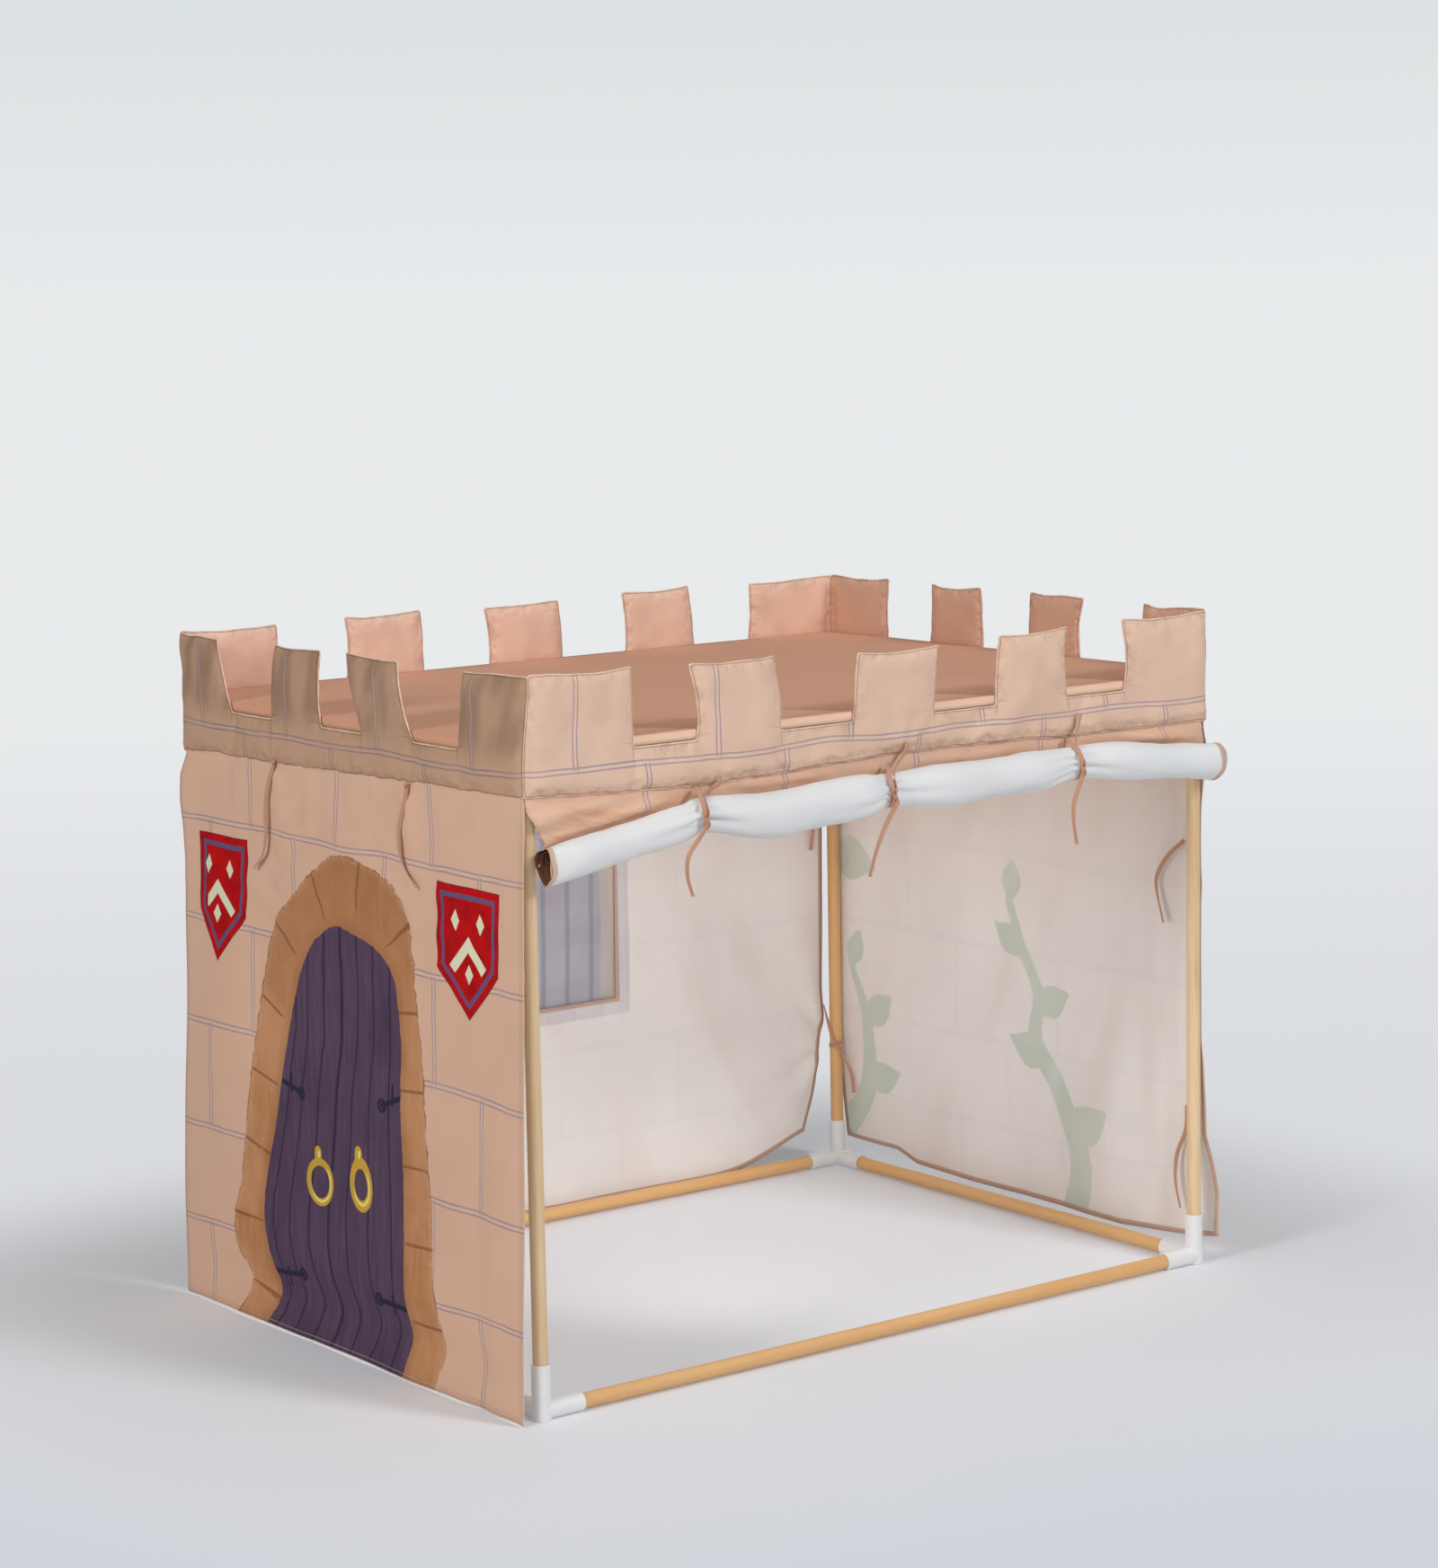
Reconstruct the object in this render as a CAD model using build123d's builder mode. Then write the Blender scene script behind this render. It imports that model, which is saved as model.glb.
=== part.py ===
from build123d import *
from math import acos, atan2, cos, radians, sin, sqrt
import os

# A child's castle play tent: a cloth cover with a crenellated parapet over a frame of wooden
# dowels and three-way corner fittings. X runs along the long side, the open front with the
# rolled wall faces -Y, the printed door is on the -X end, and Z is up from the floor.
# The origin is on the floor, under the middle of the whole tent's outer box.

# Frame
FRAME_LENGTH = 1440.0
FRAME_WIDTH = 1020.0
TOP_RAIL_HEIGHT = 1062.0
DOWEL_DIAMETER = 25.0
DOWEL_CHAMFER = 1.0

# Corner fittings
SOCKET_CLEARANCE = 0.15
SOCKET_WALL = 2.85
SOCKET_REACH = 76.0
SOCKET_MOUTH_CHAMFER = 1.0
MOUTH_CHAMFER_ANGLE = 45
STOP_LAND = 1.5
FOOT_STAND = 0.5
FOOT_CHAMFER = 1.5

# Cloth
CLOTH = 1.5
HEM_FOLD = 0.8
HEM_WIDTH = 10.0
CLOTH_CLEARANCE = 0.3
ROOF_SIDE_DROP = 17.5
ROOF_EDGE_RADIUS = 1.0

# Parapet, whose drop and rise are from the top rails' axis
PARAPET_THICKNESS = 6.0
PARAPET_DROP = 72.0
CRENEL_RISE = 1.0
MERLON_HEIGHT = 127.0
MERLON_TAPER = 3.0
MERLON_CORNER_RADIUS = 6.0
LONG_MERLON_COUNT = 3
LONG_MERLON_WIDTH = 170.0
LONG_CORNER_MERLON = 211.0
SHORT_MERLON_COUNT = 2
SHORT_MERLON_WIDTH = 158.0
SHORT_CORNER_MERLON = 179.0

# Door wall and far wall, which hang free and swing out at the foot
DOOR_WALL_GAP = 3.0
DOOR_FLARE = 28.0
DOOR_FLARE_DROP = 162.0
FAR_WALL_GAP = 28.0
FAR_FLARE = 16.0
FAR_FLARE_START = 270.0

# Window wall
WINDOW_WALL_GAP = 15.0
WINDOW_WALL_LIFT = 62.0
WINDOW_WALL_LIFT_RUN = 260.0
WINDOW_WALL_EDGE_TOP = 12.0
WINDOW_WALL_EDGE_FOOT = 44.0
WINDOW_WIDTH = 376.0
WINDOW_HEAD_DROP = 272.0
WINDOW_HEIGHT = 376.0
WINDOW_BINDING = 8.0
SHUTTER_CLOTH = 1.2
SHUTTER_LAP = 14.0
SHUTTER_SEAM = 12.0
SHUTTER_STAND = 8.0

# Rolled front wall: its radius, and how far its axis is below the top rails' axis
ROLL_RADIUS = 33.0
ROLL_SHOULDER_RADIUS = 30.0
ROLL_TIED_RADIUS = 20.0
ROLL_HALF_TURNS = 11
ROLL_PITCH_SHARE = 0.08
ROLL_TIE_PLACES = (-405.0, -22.0, 398.0)
ROLL_TIE_DROPS = (114.0, 115.0, 110.0)
ROLL_LEFT_END_DROP = 169.0
ROLL_LEFT_BULGE_DROP = 146.0
ROLL_BULGE_DROPS = (127.0, 118.0)
ROLL_RIGHT_END_DROP = 137.0
ROLL_SHOULDER_RUN = 55.0

# Tie tapes
TAPE = 1.0
TAPE_WIDTH = 8.0
TAPE_CLEARANCE = 0.3
KNOT_RADIUS = 5.0
ROLL_TAIL_DROP = 125.0
ROLL_TAIL_RISE = 62.0
ROLL_TAIL_LEAN = 16.0
DOOR_TIE_PLACES = (-214.0, 212.0)
DOOR_TIE_LENGTH = 178.0
DOOR_TIE_STRAIGHT = 90.0
DOOR_TIE_LEAN = 2.0
BACK_TIE_HEIGHT = 250.0
BACK_TAIL_LENGTH = 95.0
BACK_TAIL_REACH = 22.0
BACK_TAIL_ANGLE = 215.0
BACK_LEAD_RISE = 76.0
BACK_LEAD_REACH = 8.0
UPPER_BACK_TIE_DROP = 327.0
UPPER_BACK_TIE_LENGTH = 90.0
UPPER_BACK_TIE_INSET = 40.0
RIGHT_TIE_INSET = 40.0
RIGHT_UPPER_TIE_LOW = 292.0
RIGHT_UPPER_TIE_LENGTH = 155.0
RIGHT_LOWER_TIE_TOP = 285.0
RIGHT_LOWER_TIE_LENGTH = 195.0
RIGHT_TIE_SWING = 58.0

# Sizes that follow from the ones above
socket_bore = DOWEL_DIAMETER / 2 + SOCKET_CLEARANCE
fitting_radius = socket_bore + SOCKET_WALL
dowel_stop = DOWEL_DIAMETER / 2 + STOP_LAND
bottom_rail_height = fitting_radius + FOOT_STAND
fitting_top = TOP_RAIL_HEIGHT + fitting_radius + FOOT_STAND

cloth_inner_reach = fitting_radius + CLOTH_CLEARANCE + HEM_FOLD
cloth_outer_reach = cloth_inner_reach + CLOTH
roof_top = fitting_top + CLOTH
wall_top = roof_top - ROOF_SIDE_DROP
long_wall_reach = cloth_inner_reach - HEM_FOLD - CLOTH_CLEARANCE
parapet_reach = cloth_outer_reach + PARAPET_THICKNESS
parapet_bottom = TOP_RAIL_HEIGHT - PARAPET_DROP
crenel_height = TOP_RAIL_HEIGHT + CRENEL_RISE
parapet_top = crenel_height + MERLON_HEIGHT
door_flare_start = TOP_RAIL_HEIGHT - DOOR_FLARE_DROP
window_head = TOP_RAIL_HEIGHT - WINDOW_HEAD_DROP
window_sill = window_head - WINDOW_HEIGHT

left_reach = cloth_outer_reach + DOOR_FLARE
right_reach = cloth_outer_reach + FAR_FLARE
front_reach = cloth_inner_reach + 2 * ROLL_RADIUS
back_reach = cloth_outer_reach + SHUTTER_STAND + SHUTTER_CLOTH
middle_x = (left_reach - right_reach) / 2
middle_y = (front_reach - back_reach) / 2

left_x = middle_x - FRAME_LENGTH / 2
right_x = middle_x + FRAME_LENGTH / 2
front_y = middle_y - FRAME_WIDTH / 2
back_y = middle_y + FRAME_WIDTH / 2
POST_X = {"left": left_x, "right": right_x}
POST_Y = {"front": front_y, "back": back_y}
RAIL_Z = {"bottom": bottom_rail_height, "top": TOP_RAIL_HEIGHT}

half_outer_x = FRAME_LENGTH / 2 + parapet_reach
half_outer_y = FRAME_WIDTH / 2 + parapet_reach
strip_inner_y = front_y - cloth_inner_reach

os.makedirs("parts", exist_ok=True)


def save(name, label):
    """Label a finished piece and write it."""
    name.part.label = label
    export_step(name.part, f"parts/{label}.step")


def across_x(x):
    """The upright plane at x, with Y to the right and Z up, facing +X."""
    return Plane.YZ.offset(x)


def across_y(y):
    """The upright plane at y, with X to the right and Z up, facing -Y."""
    return Plane.XZ.offset(-y)


def dowel(label, start, direction, length):
    """A round dowel with eased ends, from start along direction."""
    with BuildPart() as rod:
        with BuildSketch(Plane(origin=start, z_dir=direction)):
            Circle(DOWEL_DIAMETER / 2)
        extrude(amount=length)
        chamfer(rod.edges().filter_by(GeomType.CIRCLE), DOWEL_CHAMFER)
    save(rod, label)


def make_dowels():
    """Four uprights, four bottom rails and four top rails, each ending at its socket's stop."""
    upright_length = TOP_RAIL_HEIGHT - bottom_rail_height - 2 * dowel_stop
    for depth, y in POST_Y.items():
        for side, x in POST_X.items():
            foot = (x, y, bottom_rail_height + dowel_stop)
            dowel(f"upright_{depth}_{side}", foot, (0, 0, 1), upright_length)
    for level, z in RAIL_Z.items():
        for depth, y in POST_Y.items():
            start = (left_x + dowel_stop, y, z)
            dowel(f"{level}_rail_{depth}", start, (1, 0, 0), FRAME_LENGTH - 2 * dowel_stop)
        for side, x in POST_X.items():
            start = (x, front_y + dowel_stop, z)
            dowel(f"{level}_rail_{side}", start, (0, 1, 0), FRAME_WIDTH - 2 * dowel_stop)


def corner_fitting(hub, arms):
    """Three sockets that meet at a hub. The upright one runs on past the hub to a flat foot."""
    with BuildPart() as fitting:
        with BuildSketch(Plane.XY):
            with Locations(hub[:2]):
                Circle(fitting_radius)
        extrude(amount=hub[2] + SOCKET_REACH)
        chamfer(fitting.faces().sort_by(Axis.Z)[0].edges(), FOOT_CHAMFER)
        for arm in arms[:-1]:
            with BuildSketch(Plane(origin=hub, z_dir=arm)):
                Circle(fitting_radius)
            extrude(amount=SOCKET_REACH)
        for arm in arms:
            mouth = Plane(origin=hub, z_dir=arm).offset(SOCKET_REACH)
            with BuildSketch(mouth):
                Circle(socket_bore)
            extrude(amount=dowel_stop - SOCKET_REACH, mode=Mode.SUBTRACT)
            with BuildSketch(mouth):
                Circle(socket_bore + SOCKET_MOUTH_CHAMFER)
            extrude(amount=-SOCKET_MOUTH_CHAMFER, taper=MOUTH_CHAMFER_ANGLE, mode=Mode.SUBTRACT)
    return fitting.part


def make_fittings():
    """Eight corner fittings: the one at the bottom front left, and its mirror images."""
    first_hub = (left_x, front_y, bottom_rail_height)
    first = corner_fitting(first_hub, ((1, 0, 0), (0, 1, 0), (0, 0, 1)))
    level_mirror = Plane.XY.offset((bottom_rail_height + TOP_RAIL_HEIGHT) / 2)
    for level in RAIL_Z:
        for depth in POST_Y:
            for side in POST_X:
                with BuildPart() as fitting:
                    add(first)
                    if level == "top":
                        mirror(about=level_mirror, mode=Mode.REPLACE)
                    if depth == "back":
                        mirror(about=across_y(middle_y), mode=Mode.REPLACE)
                    if side == "right":
                        mirror(about=across_x(middle_x), mode=Mode.REPLACE)
                save(fitting, f"fitting_{level}_{depth}_{side}")


def make_roof():
    """The roof: a flat cloth top with a short side turned down over the top rails."""
    with BuildPart() as roof:
        with BuildSketch(Plane.XY.offset(wall_top)):
            with Locations((middle_x, middle_y)):
                Rectangle(FRAME_LENGTH + 2 * cloth_outer_reach, FRAME_WIDTH + 2 * cloth_outer_reach)
        extrude(amount=ROOF_SIDE_DROP)
        offset(amount=-CLOTH, openings=roof.faces().sort_by(Axis.Z)[0])
        fillet(roof.faces().sort_by(Axis.Z)[-1].edges(), ROOF_EDGE_RADIUS)
    save(roof, "roof_panel")


def merlon(left, right, taper_left, taper_right):
    """Add one tooth of the parapet to the sketch, narrower at its top."""
    Polygon(
        (left, parapet_bottom),
        (right, parapet_bottom),
        (right, crenel_height),
        (right - taper_right, parapet_top),
        (left + taper_left, parapet_top),
        (left, crenel_height),
        align=None,
    )


def crenellation(middle, half_length, corner_width, count, width):
    """Add the parapet's outline: a band, corner merlons and evenly spaced merlons between."""
    low = middle - half_length
    high = middle + half_length
    with Locations((middle, (parapet_bottom + crenel_height) / 2)):
        Rectangle(2 * half_length, crenel_height - parapet_bottom)
    merlon(low, low + corner_width, 0, MERLON_TAPER)
    merlon(high - corner_width, high, MERLON_TAPER, 0)
    inner_length = 2 * (half_length - corner_width)
    gap = (inner_length - count * width) / (count + 1)
    for index in range(count):
        left = low + corner_width + gap + index * (width + gap)
        merlon(left, left + width, MERLON_TAPER, MERLON_TAPER)


def corner_mitre(x, y):
    """The upright plane through a corner of the parapet that halves it, facing along X."""
    along = (1, 1, 0) if (x - middle_x) * (y - middle_y) > 0 else (1, -1, 0)
    return Plane(origin=(x, y, 0), x_dir=along, z_dir=(along[1], -along[0], 0))


def parapet(label, plane, thickness, outline):
    """One padded crenellated panel, mitred at both ends."""
    middle, half_length, corner_width, count, width = outline
    with BuildPart() as panel:
        with BuildSketch(plane) as face:
            crenellation(middle, half_length, corner_width, count, width)
            fillet(face.vertices().group_by(Axis.Y)[-1], MERLON_CORNER_RADIUS)
        extrude(amount=thickness)
        for x in (middle_x - half_outer_x, middle_x + half_outer_x):
            for y in (middle_y - half_outer_y, middle_y + half_outer_y):
                if on_panel(label, x, y):
                    split(bisect_by=corner_mitre(x, y), keep=kept_side(label, x, y))
    save(panel, label)


def on_panel(label, x, y):
    """Whether the corner at x, y is at an end of the named panel."""
    ends = {
        "parapet_front": y < middle_y,
        "parapet_back": y > middle_y,
        "parapet_left": x < middle_x,
        "parapet_right": x > middle_x,
    }
    return ends[label]


def kept_side(label, x, y):
    """The side of the corner's mitre plane on which the named panel's middle lies."""
    panel_middle = {
        "parapet_front": (middle_x, middle_y - half_outer_y),
        "parapet_back": (middle_x, middle_y + half_outer_y),
        "parapet_left": (middle_x - half_outer_x, middle_y),
        "parapet_right": (middle_x + half_outer_x, middle_y),
    }[label]
    away = Vector(panel_middle[0] - x, panel_middle[1] - y, 0)
    return Keep.TOP if away.dot(corner_mitre(x, y).z_dir) > 0 else Keep.BOTTOM


def make_parapets():
    """The four crenellated panels round the roof's edge."""
    long_outline = (
        middle_x,
        half_outer_x,
        LONG_CORNER_MERLON,
        LONG_MERLON_COUNT,
        LONG_MERLON_WIDTH,
    )
    short_outline = (
        middle_y,
        half_outer_y,
        SHORT_CORNER_MERLON,
        SHORT_MERLON_COUNT,
        SHORT_MERLON_WIDTH,
    )
    parapet("parapet_front", across_y(front_y - cloth_outer_reach), PARAPET_THICKNESS, long_outline)
    parapet("parapet_back", across_y(back_y + cloth_outer_reach), -PARAPET_THICKNESS, long_outline)
    parapet("parapet_left", across_x(left_x - cloth_outer_reach), -PARAPET_THICKNESS, short_outline)
    parapet("parapet_right", across_x(right_x + cloth_outer_reach), PARAPET_THICKNESS, short_outline)


def flared_wall(label, inner_x, outward, gap, flare, flare_start):
    """An end wall that hangs straight from the roof's side and swings out at its foot."""
    front_edge = front_y - cloth_outer_reach
    back_edge = back_y + cloth_outer_reach
    strips = (
        (front_edge, back_edge, 0),
        (front_edge, front_edge + HEM_WIDTH, HEM_FOLD),
        (back_edge - HEM_WIDTH, back_edge, HEM_FOLD),
    )
    with BuildPart() as wall:
        for start, end, fold in strips:
            middle = inner_x + outward * (CLOTH - fold) / 2
            with BuildSketch(across_y(start)):
                with BuildLine():
                    Line((middle, wall_top), (middle, flare_start))
                    TangentArc((middle, flare_start), (middle + outward * flare, gap), tangent=(0, -1))
                trace(line_width=CLOTH + fold)
            extrude(amount=start - end)
    save(wall, label)


def make_end_walls():
    """The door wall and the far wall."""
    flared_wall(
        "door_wall", left_x - cloth_inner_reach, -1, DOOR_WALL_GAP, DOOR_FLARE, door_flare_start
    )
    flared_wall(
        "far_wall", right_x + cloth_inner_reach, 1, FAR_WALL_GAP, FAR_FLARE, FAR_FLARE_START
    )


def window_rectangle(margin):
    """Add the window's rectangle, grown by a margin, to the sketch."""
    sill = window_sill - margin
    head = window_head + margin
    with Locations((middle_x, (sill + head) / 2)):
        Rectangle(WINDOW_WIDTH + 2 * margin, head - sill)


def make_window_wall():
    """The back wall with its window. Its right edge leans in and its right corner lifts."""
    inner_face = back_y + cloth_inner_reach
    left_edge = left_x - long_wall_reach
    right_edge = right_x + long_wall_reach
    right_foot = right_x - WINDOW_WALL_EDGE_FOOT
    with BuildPart() as wall:
        with BuildSketch(across_y(inner_face)) as outline:
            with BuildLine():
                Polyline(
                    (left_edge, wall_top),
                    (left_edge, WINDOW_WALL_GAP),
                    (right_foot - WINDOW_WALL_LIFT_RUN, WINDOW_WALL_GAP),
                    (right_foot, WINDOW_WALL_GAP + WINDOW_WALL_LIFT),
                    (right_x - WINDOW_WALL_EDGE_TOP, parapet_bottom),
                    (right_edge, wall_top),
                    close=True,
                )
            make_face()
            window_rectangle(0)
        extrude(amount=-CLOTH)
        with BuildSketch(across_y(inner_face)):
            add(outline.sketch_local)
            offset(outline.sketch_local, amount=-HEM_WIDTH, mode=Mode.SUBTRACT)
        extrude(amount=HEM_FOLD)
        with BuildSketch(across_y(inner_face)):
            window_rectangle(WINDOW_BINDING)
        extrude(amount=HEM_FOLD)
        with BuildSketch(across_y(inner_face - HEM_FOLD)):
            window_rectangle(0)
        extrude(amount=-CLOTH - HEM_FOLD, mode=Mode.SUBTRACT)
    save(wall, "window_wall")


def make_window_shutter():
    """The cloth flap that hangs behind the window opening, sewn to the wall along its top."""
    outer_face = back_y + cloth_outer_reach
    top = window_head + SHUTTER_LAP + SHUTTER_SEAM
    foot = window_sill - SHUTTER_LAP
    near = outer_face + SHUTTER_CLOTH / 2
    half_width = WINDOW_WIDTH / 2 + SHUTTER_LAP
    with BuildPart() as shutter:
        with BuildSketch(across_x(middle_x - half_width)):
            with BuildLine():
                Polyline((near, top), (near, top - SHUTTER_SEAM), (near + SHUTTER_STAND, foot))
            trace(line_width=SHUTTER_CLOTH)
        extrude(amount=2 * half_width)
    save(shutter, "window_shutter")


def roll_section(x, radius, height):
    """One section of the rolled wall: a strip that hangs from the roof and coils outward."""
    pitch = radius * ROLL_PITCH_SHARE
    outer_ends = []
    with BuildSketch(across_x(x)) as section:
        with BuildLine():
            Line((strip_inner_y - CLOTH, wall_top), (strip_inner_y, wall_top))
            Line((strip_inner_y, wall_top), (strip_inner_y, height))
            Line((strip_inner_y - CLOTH, wall_top), (strip_inner_y - CLOTH, height))
            for skin in (0, CLOTH):
                for half_turn in range(ROLL_HALF_TURNS):
                    shift = pitch / 2 if half_turn % 2 else 0
                    arc_radius = radius - half_turn * pitch / 2 - skin
                    centre_y = strip_inner_y - radius - shift
                    side = -1 if half_turn % 2 else 1
                    ends = [(centre_y + side * arc_radius, height), (centre_y - side * arc_radius, height)]
                    ThreePointArc(ends[0], (centre_y, height - side * arc_radius), ends[1])
                outer_ends.append(ends[1])
            Line(outer_ends[0], outer_ends[1])
        make_face()
    return section.sketch


def roll_stations():
    """Where the roll's sections stand, as x, radius and axis height, from left to right."""
    half_tie = TAPE_WIDTH / 2 + TAPE
    left_end = left_x - long_wall_reach
    right_end = right_x + long_wall_reach
    ties = [middle_x + place for place in ROLL_TIE_PLACES]
    stations = [
        (left_end, ROLL_RADIUS, TOP_RAIL_HEIGHT - ROLL_LEFT_END_DROP),
        ((left_end + ties[0]) / 2, ROLL_RADIUS, TOP_RAIL_HEIGHT - ROLL_LEFT_BULGE_DROP),
    ]
    for index, tie in enumerate(ties):
        height = TOP_RAIL_HEIGHT - ROLL_TIE_DROPS[index]
        before = stations[-1][2]
        stations.append((tie - ROLL_SHOULDER_RUN, ROLL_SHOULDER_RADIUS, (before + height) / 2))
        stations.append((tie - half_tie, ROLL_TIED_RADIUS, height))
        stations.append((tie + half_tie, ROLL_TIED_RADIUS, height))
        if index < len(ROLL_BULGE_DROPS):
            after = TOP_RAIL_HEIGHT - ROLL_BULGE_DROPS[index]
            middle = (tie + ties[index + 1]) / 2
            stations.append((tie + ROLL_SHOULDER_RUN, ROLL_SHOULDER_RADIUS, (after + height) / 2))
            stations.append((middle, ROLL_RADIUS, after))
    end_height = TOP_RAIL_HEIGHT - ROLL_RIGHT_END_DROP
    shoulder = (height + end_height) / 2
    stations.append((ties[-1] + ROLL_SHOULDER_RUN, ROLL_SHOULDER_RADIUS, shoulder))
    stations.append((right_end, ROLL_RADIUS, end_height))
    return stations


def make_front_wall():
    """The front wall, rolled up outward and drawn in where the three tapes hold it."""
    sections = [roll_section(x, radius, height) for x, radius, height in roll_stations()]
    with BuildPart() as wall:
        loft(sections, ruled=True)
    save(wall, "front_wall")


def roll_tie(label, x, height):
    """A tape that hangs behind the wall, passes under the roll and is knotted in front."""
    radius = ROLL_TIED_RADIUS + TAPE_CLEARANCE + TAPE / 2
    centre_y = strip_inner_y - ROLL_TIED_RADIUS
    back = centre_y + radius
    hem_y = front_y - cloth_outer_reach - PARAPET_THICKNESS / 2
    hem_z = parapet_bottom - TAPE
    to_hem = sqrt((hem_y - centre_y) ** 2 + (hem_z - height) ** 2)
    lean = atan2(hem_z - height, hem_y - centre_y) + acos(radius / to_hem)
    leave = (centre_y + radius * cos(lean), height + radius * sin(lean))
    knot_y = centre_y - ROLL_TIED_RADIUS - TAPE_CLEARANCE - KNOT_RADIUS
    with BuildPart() as tie:
        with BuildSketch(across_x(x)):
            with BuildLine():
                Line((back, wall_top - TAPE_WIDTH), (back, height))
                ThreePointArc((back, height), (centre_y, height - radius), (centre_y - radius, height))
                arc_middle = (radians(180) + lean) / 2
                bulge = (centre_y + radius * cos(arc_middle), height + radius * sin(arc_middle))
                ThreePointArc((centre_y - radius, height), bulge, leave)
                Line(leave, (hem_y, hem_z))
            trace(line_width=TAPE)
        extrude(amount=TAPE_WIDTH / 2, both=True)
        with BuildSketch(across_x(x)):
            with BuildLine():
                Line((knot_y, height), (knot_y, height - ROLL_TAIL_DROP))
            trace(line_width=TAPE)
            with BuildLine():
                Line((knot_y, height), (knot_y - ROLL_TAIL_LEAN, height + ROLL_TAIL_RISE))
            trace(line_width=TAPE)
        extrude(amount=TAPE_WIDTH / 2, both=True)
        with Locations((x, knot_y, height)):
            Sphere(KNOT_RADIUS)
    save(tie, label)


def make_roll_ties():
    """The three tapes that hold the rolled wall up."""
    names = ("roll_tie_left", "roll_tie_middle", "roll_tie_right")
    for name, place, drop in zip(names, ROLL_TIE_PLACES, ROLL_TIE_DROPS):
        roll_tie(name, middle_x + place, TOP_RAIL_HEIGHT - drop)


def make_door_ties():
    """Two unused tapes that hang from the parapet's hem over the door wall."""
    near_wall = left_x - cloth_outer_reach - TAPE / 2
    bend = parapet_bottom - DOOR_TIE_STRAIGHT
    foot = parapet_bottom - DOOR_TIE_LENGTH
    for name, place in zip(("door_tie_near", "door_tie_far"), DOOR_TIE_PLACES):
        with BuildPart() as tie:
            with BuildSketch(across_y(middle_y + place)):
                with BuildLine():
                    Polyline((near_wall, parapet_bottom), (near_wall, bend), (near_wall - DOOR_TIE_LEAN, foot))
                trace(line_width=TAPE)
            extrude(amount=TAPE_WIDTH / 2, both=True)
        save(tie, name)


def post_plane(angle):
    """The upright plane through the back right post's axis, with X pointing out at an angle."""
    turn = radians(angle)
    return Plane(
        origin=(right_x, back_y, BACK_TIE_HEIGHT),
        x_dir=(cos(turn), sin(turn), 0),
        z_dir=(sin(turn), -cos(turn), 0),
    )


def make_back_tie():
    """The tape knotted round the back right post, with one end up the wall and one tail down."""
    inner = DOWEL_DIAMETER / 2 + TAPE_CLEARANCE
    middle = inner + TAPE / 2
    with BuildPart() as tie:
        with BuildSketch(Plane.XY.offset(BACK_TIE_HEIGHT - TAPE_WIDTH / 2)):
            with Locations((right_x, back_y)):
                Circle(inner + TAPE)
                Circle(inner, mode=Mode.SUBTRACT)
        extrude(amount=TAPE_WIDTH)
        with BuildSketch(post_plane(BACK_TAIL_ANGLE)):
            with BuildLine():
                start = (middle, TAPE_WIDTH / 4)
                TangentArc(start, (middle + BACK_TAIL_REACH, -BACK_TAIL_LENGTH), tangent=(0.25, -1))
            trace(line_width=TAPE)
        extrude(amount=TAPE_WIDTH / 2, both=True)
        with BuildSketch(post_plane(180)):
            with BuildLine():
                Line((middle, -TAPE_WIDTH / 4), (middle + BACK_LEAD_REACH, BACK_LEAD_RISE))
            trace(line_width=TAPE)
        extrude(amount=TAPE_WIDTH / 2, both=True)
    save(tie, "corner_tie_back")


def make_upper_back_tie():
    """A short tape that hangs down the window wall's inner face near the back post."""
    x = right_x - UPPER_BACK_TIE_INSET
    with BuildPart() as tie:
        with BuildSketch(across_y(back_y + cloth_inner_reach)):
            with Locations((x, TOP_RAIL_HEIGHT - UPPER_BACK_TIE_DROP - UPPER_BACK_TIE_LENGTH / 2)):
                Rectangle(TAPE_WIDTH, UPPER_BACK_TIE_LENGTH)
        extrude(amount=TAPE)
    save(tie, "corner_tie_back_upper")


def right_tie(label, top, length):
    """A tape on the far wall's inner face, which swings away from the front post and back."""
    start_y = front_y + RIGHT_TIE_INSET
    turn = (start_y + RIGHT_TIE_SWING, top - length / 2)
    end = (start_y + RIGHT_TIE_SWING / 2, top - length)
    with BuildPart() as tie:
        with BuildSketch(across_x(right_x + cloth_inner_reach)):
            with BuildLine():
                ThreePointArc((start_y, top), turn, end)
            trace(line_width=TAPE_WIDTH)
        extrude(amount=-TAPE)
    save(tie, label)


def make_right_ties():
    """The two tapes at the far wall's front edge."""
    upper_top = TOP_RAIL_HEIGHT - RIGHT_UPPER_TIE_LOW
    right_tie("corner_tie_right_upper", upper_top, RIGHT_UPPER_TIE_LENGTH)
    right_tie("corner_tie_right_lower", RIGHT_LOWER_TIE_TOP, RIGHT_LOWER_TIE_LENGTH)


make_dowels()
make_fittings()
make_roof()
make_parapets()
make_end_walls()
make_window_wall()
make_window_shutter()
make_front_wall()
make_roll_ties()
make_door_ties()
make_back_tie()
make_upper_back_tie()
make_right_ties()
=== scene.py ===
# A child's castle play tent: printed cloth over a frame of dowels and corner fittings.
# Lengths are millimetres in the frame of the solids, and meshes are written in metres.
import math

import bmesh
import bpy
import numpy as np
from mathutils import Matrix, Vector


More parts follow.
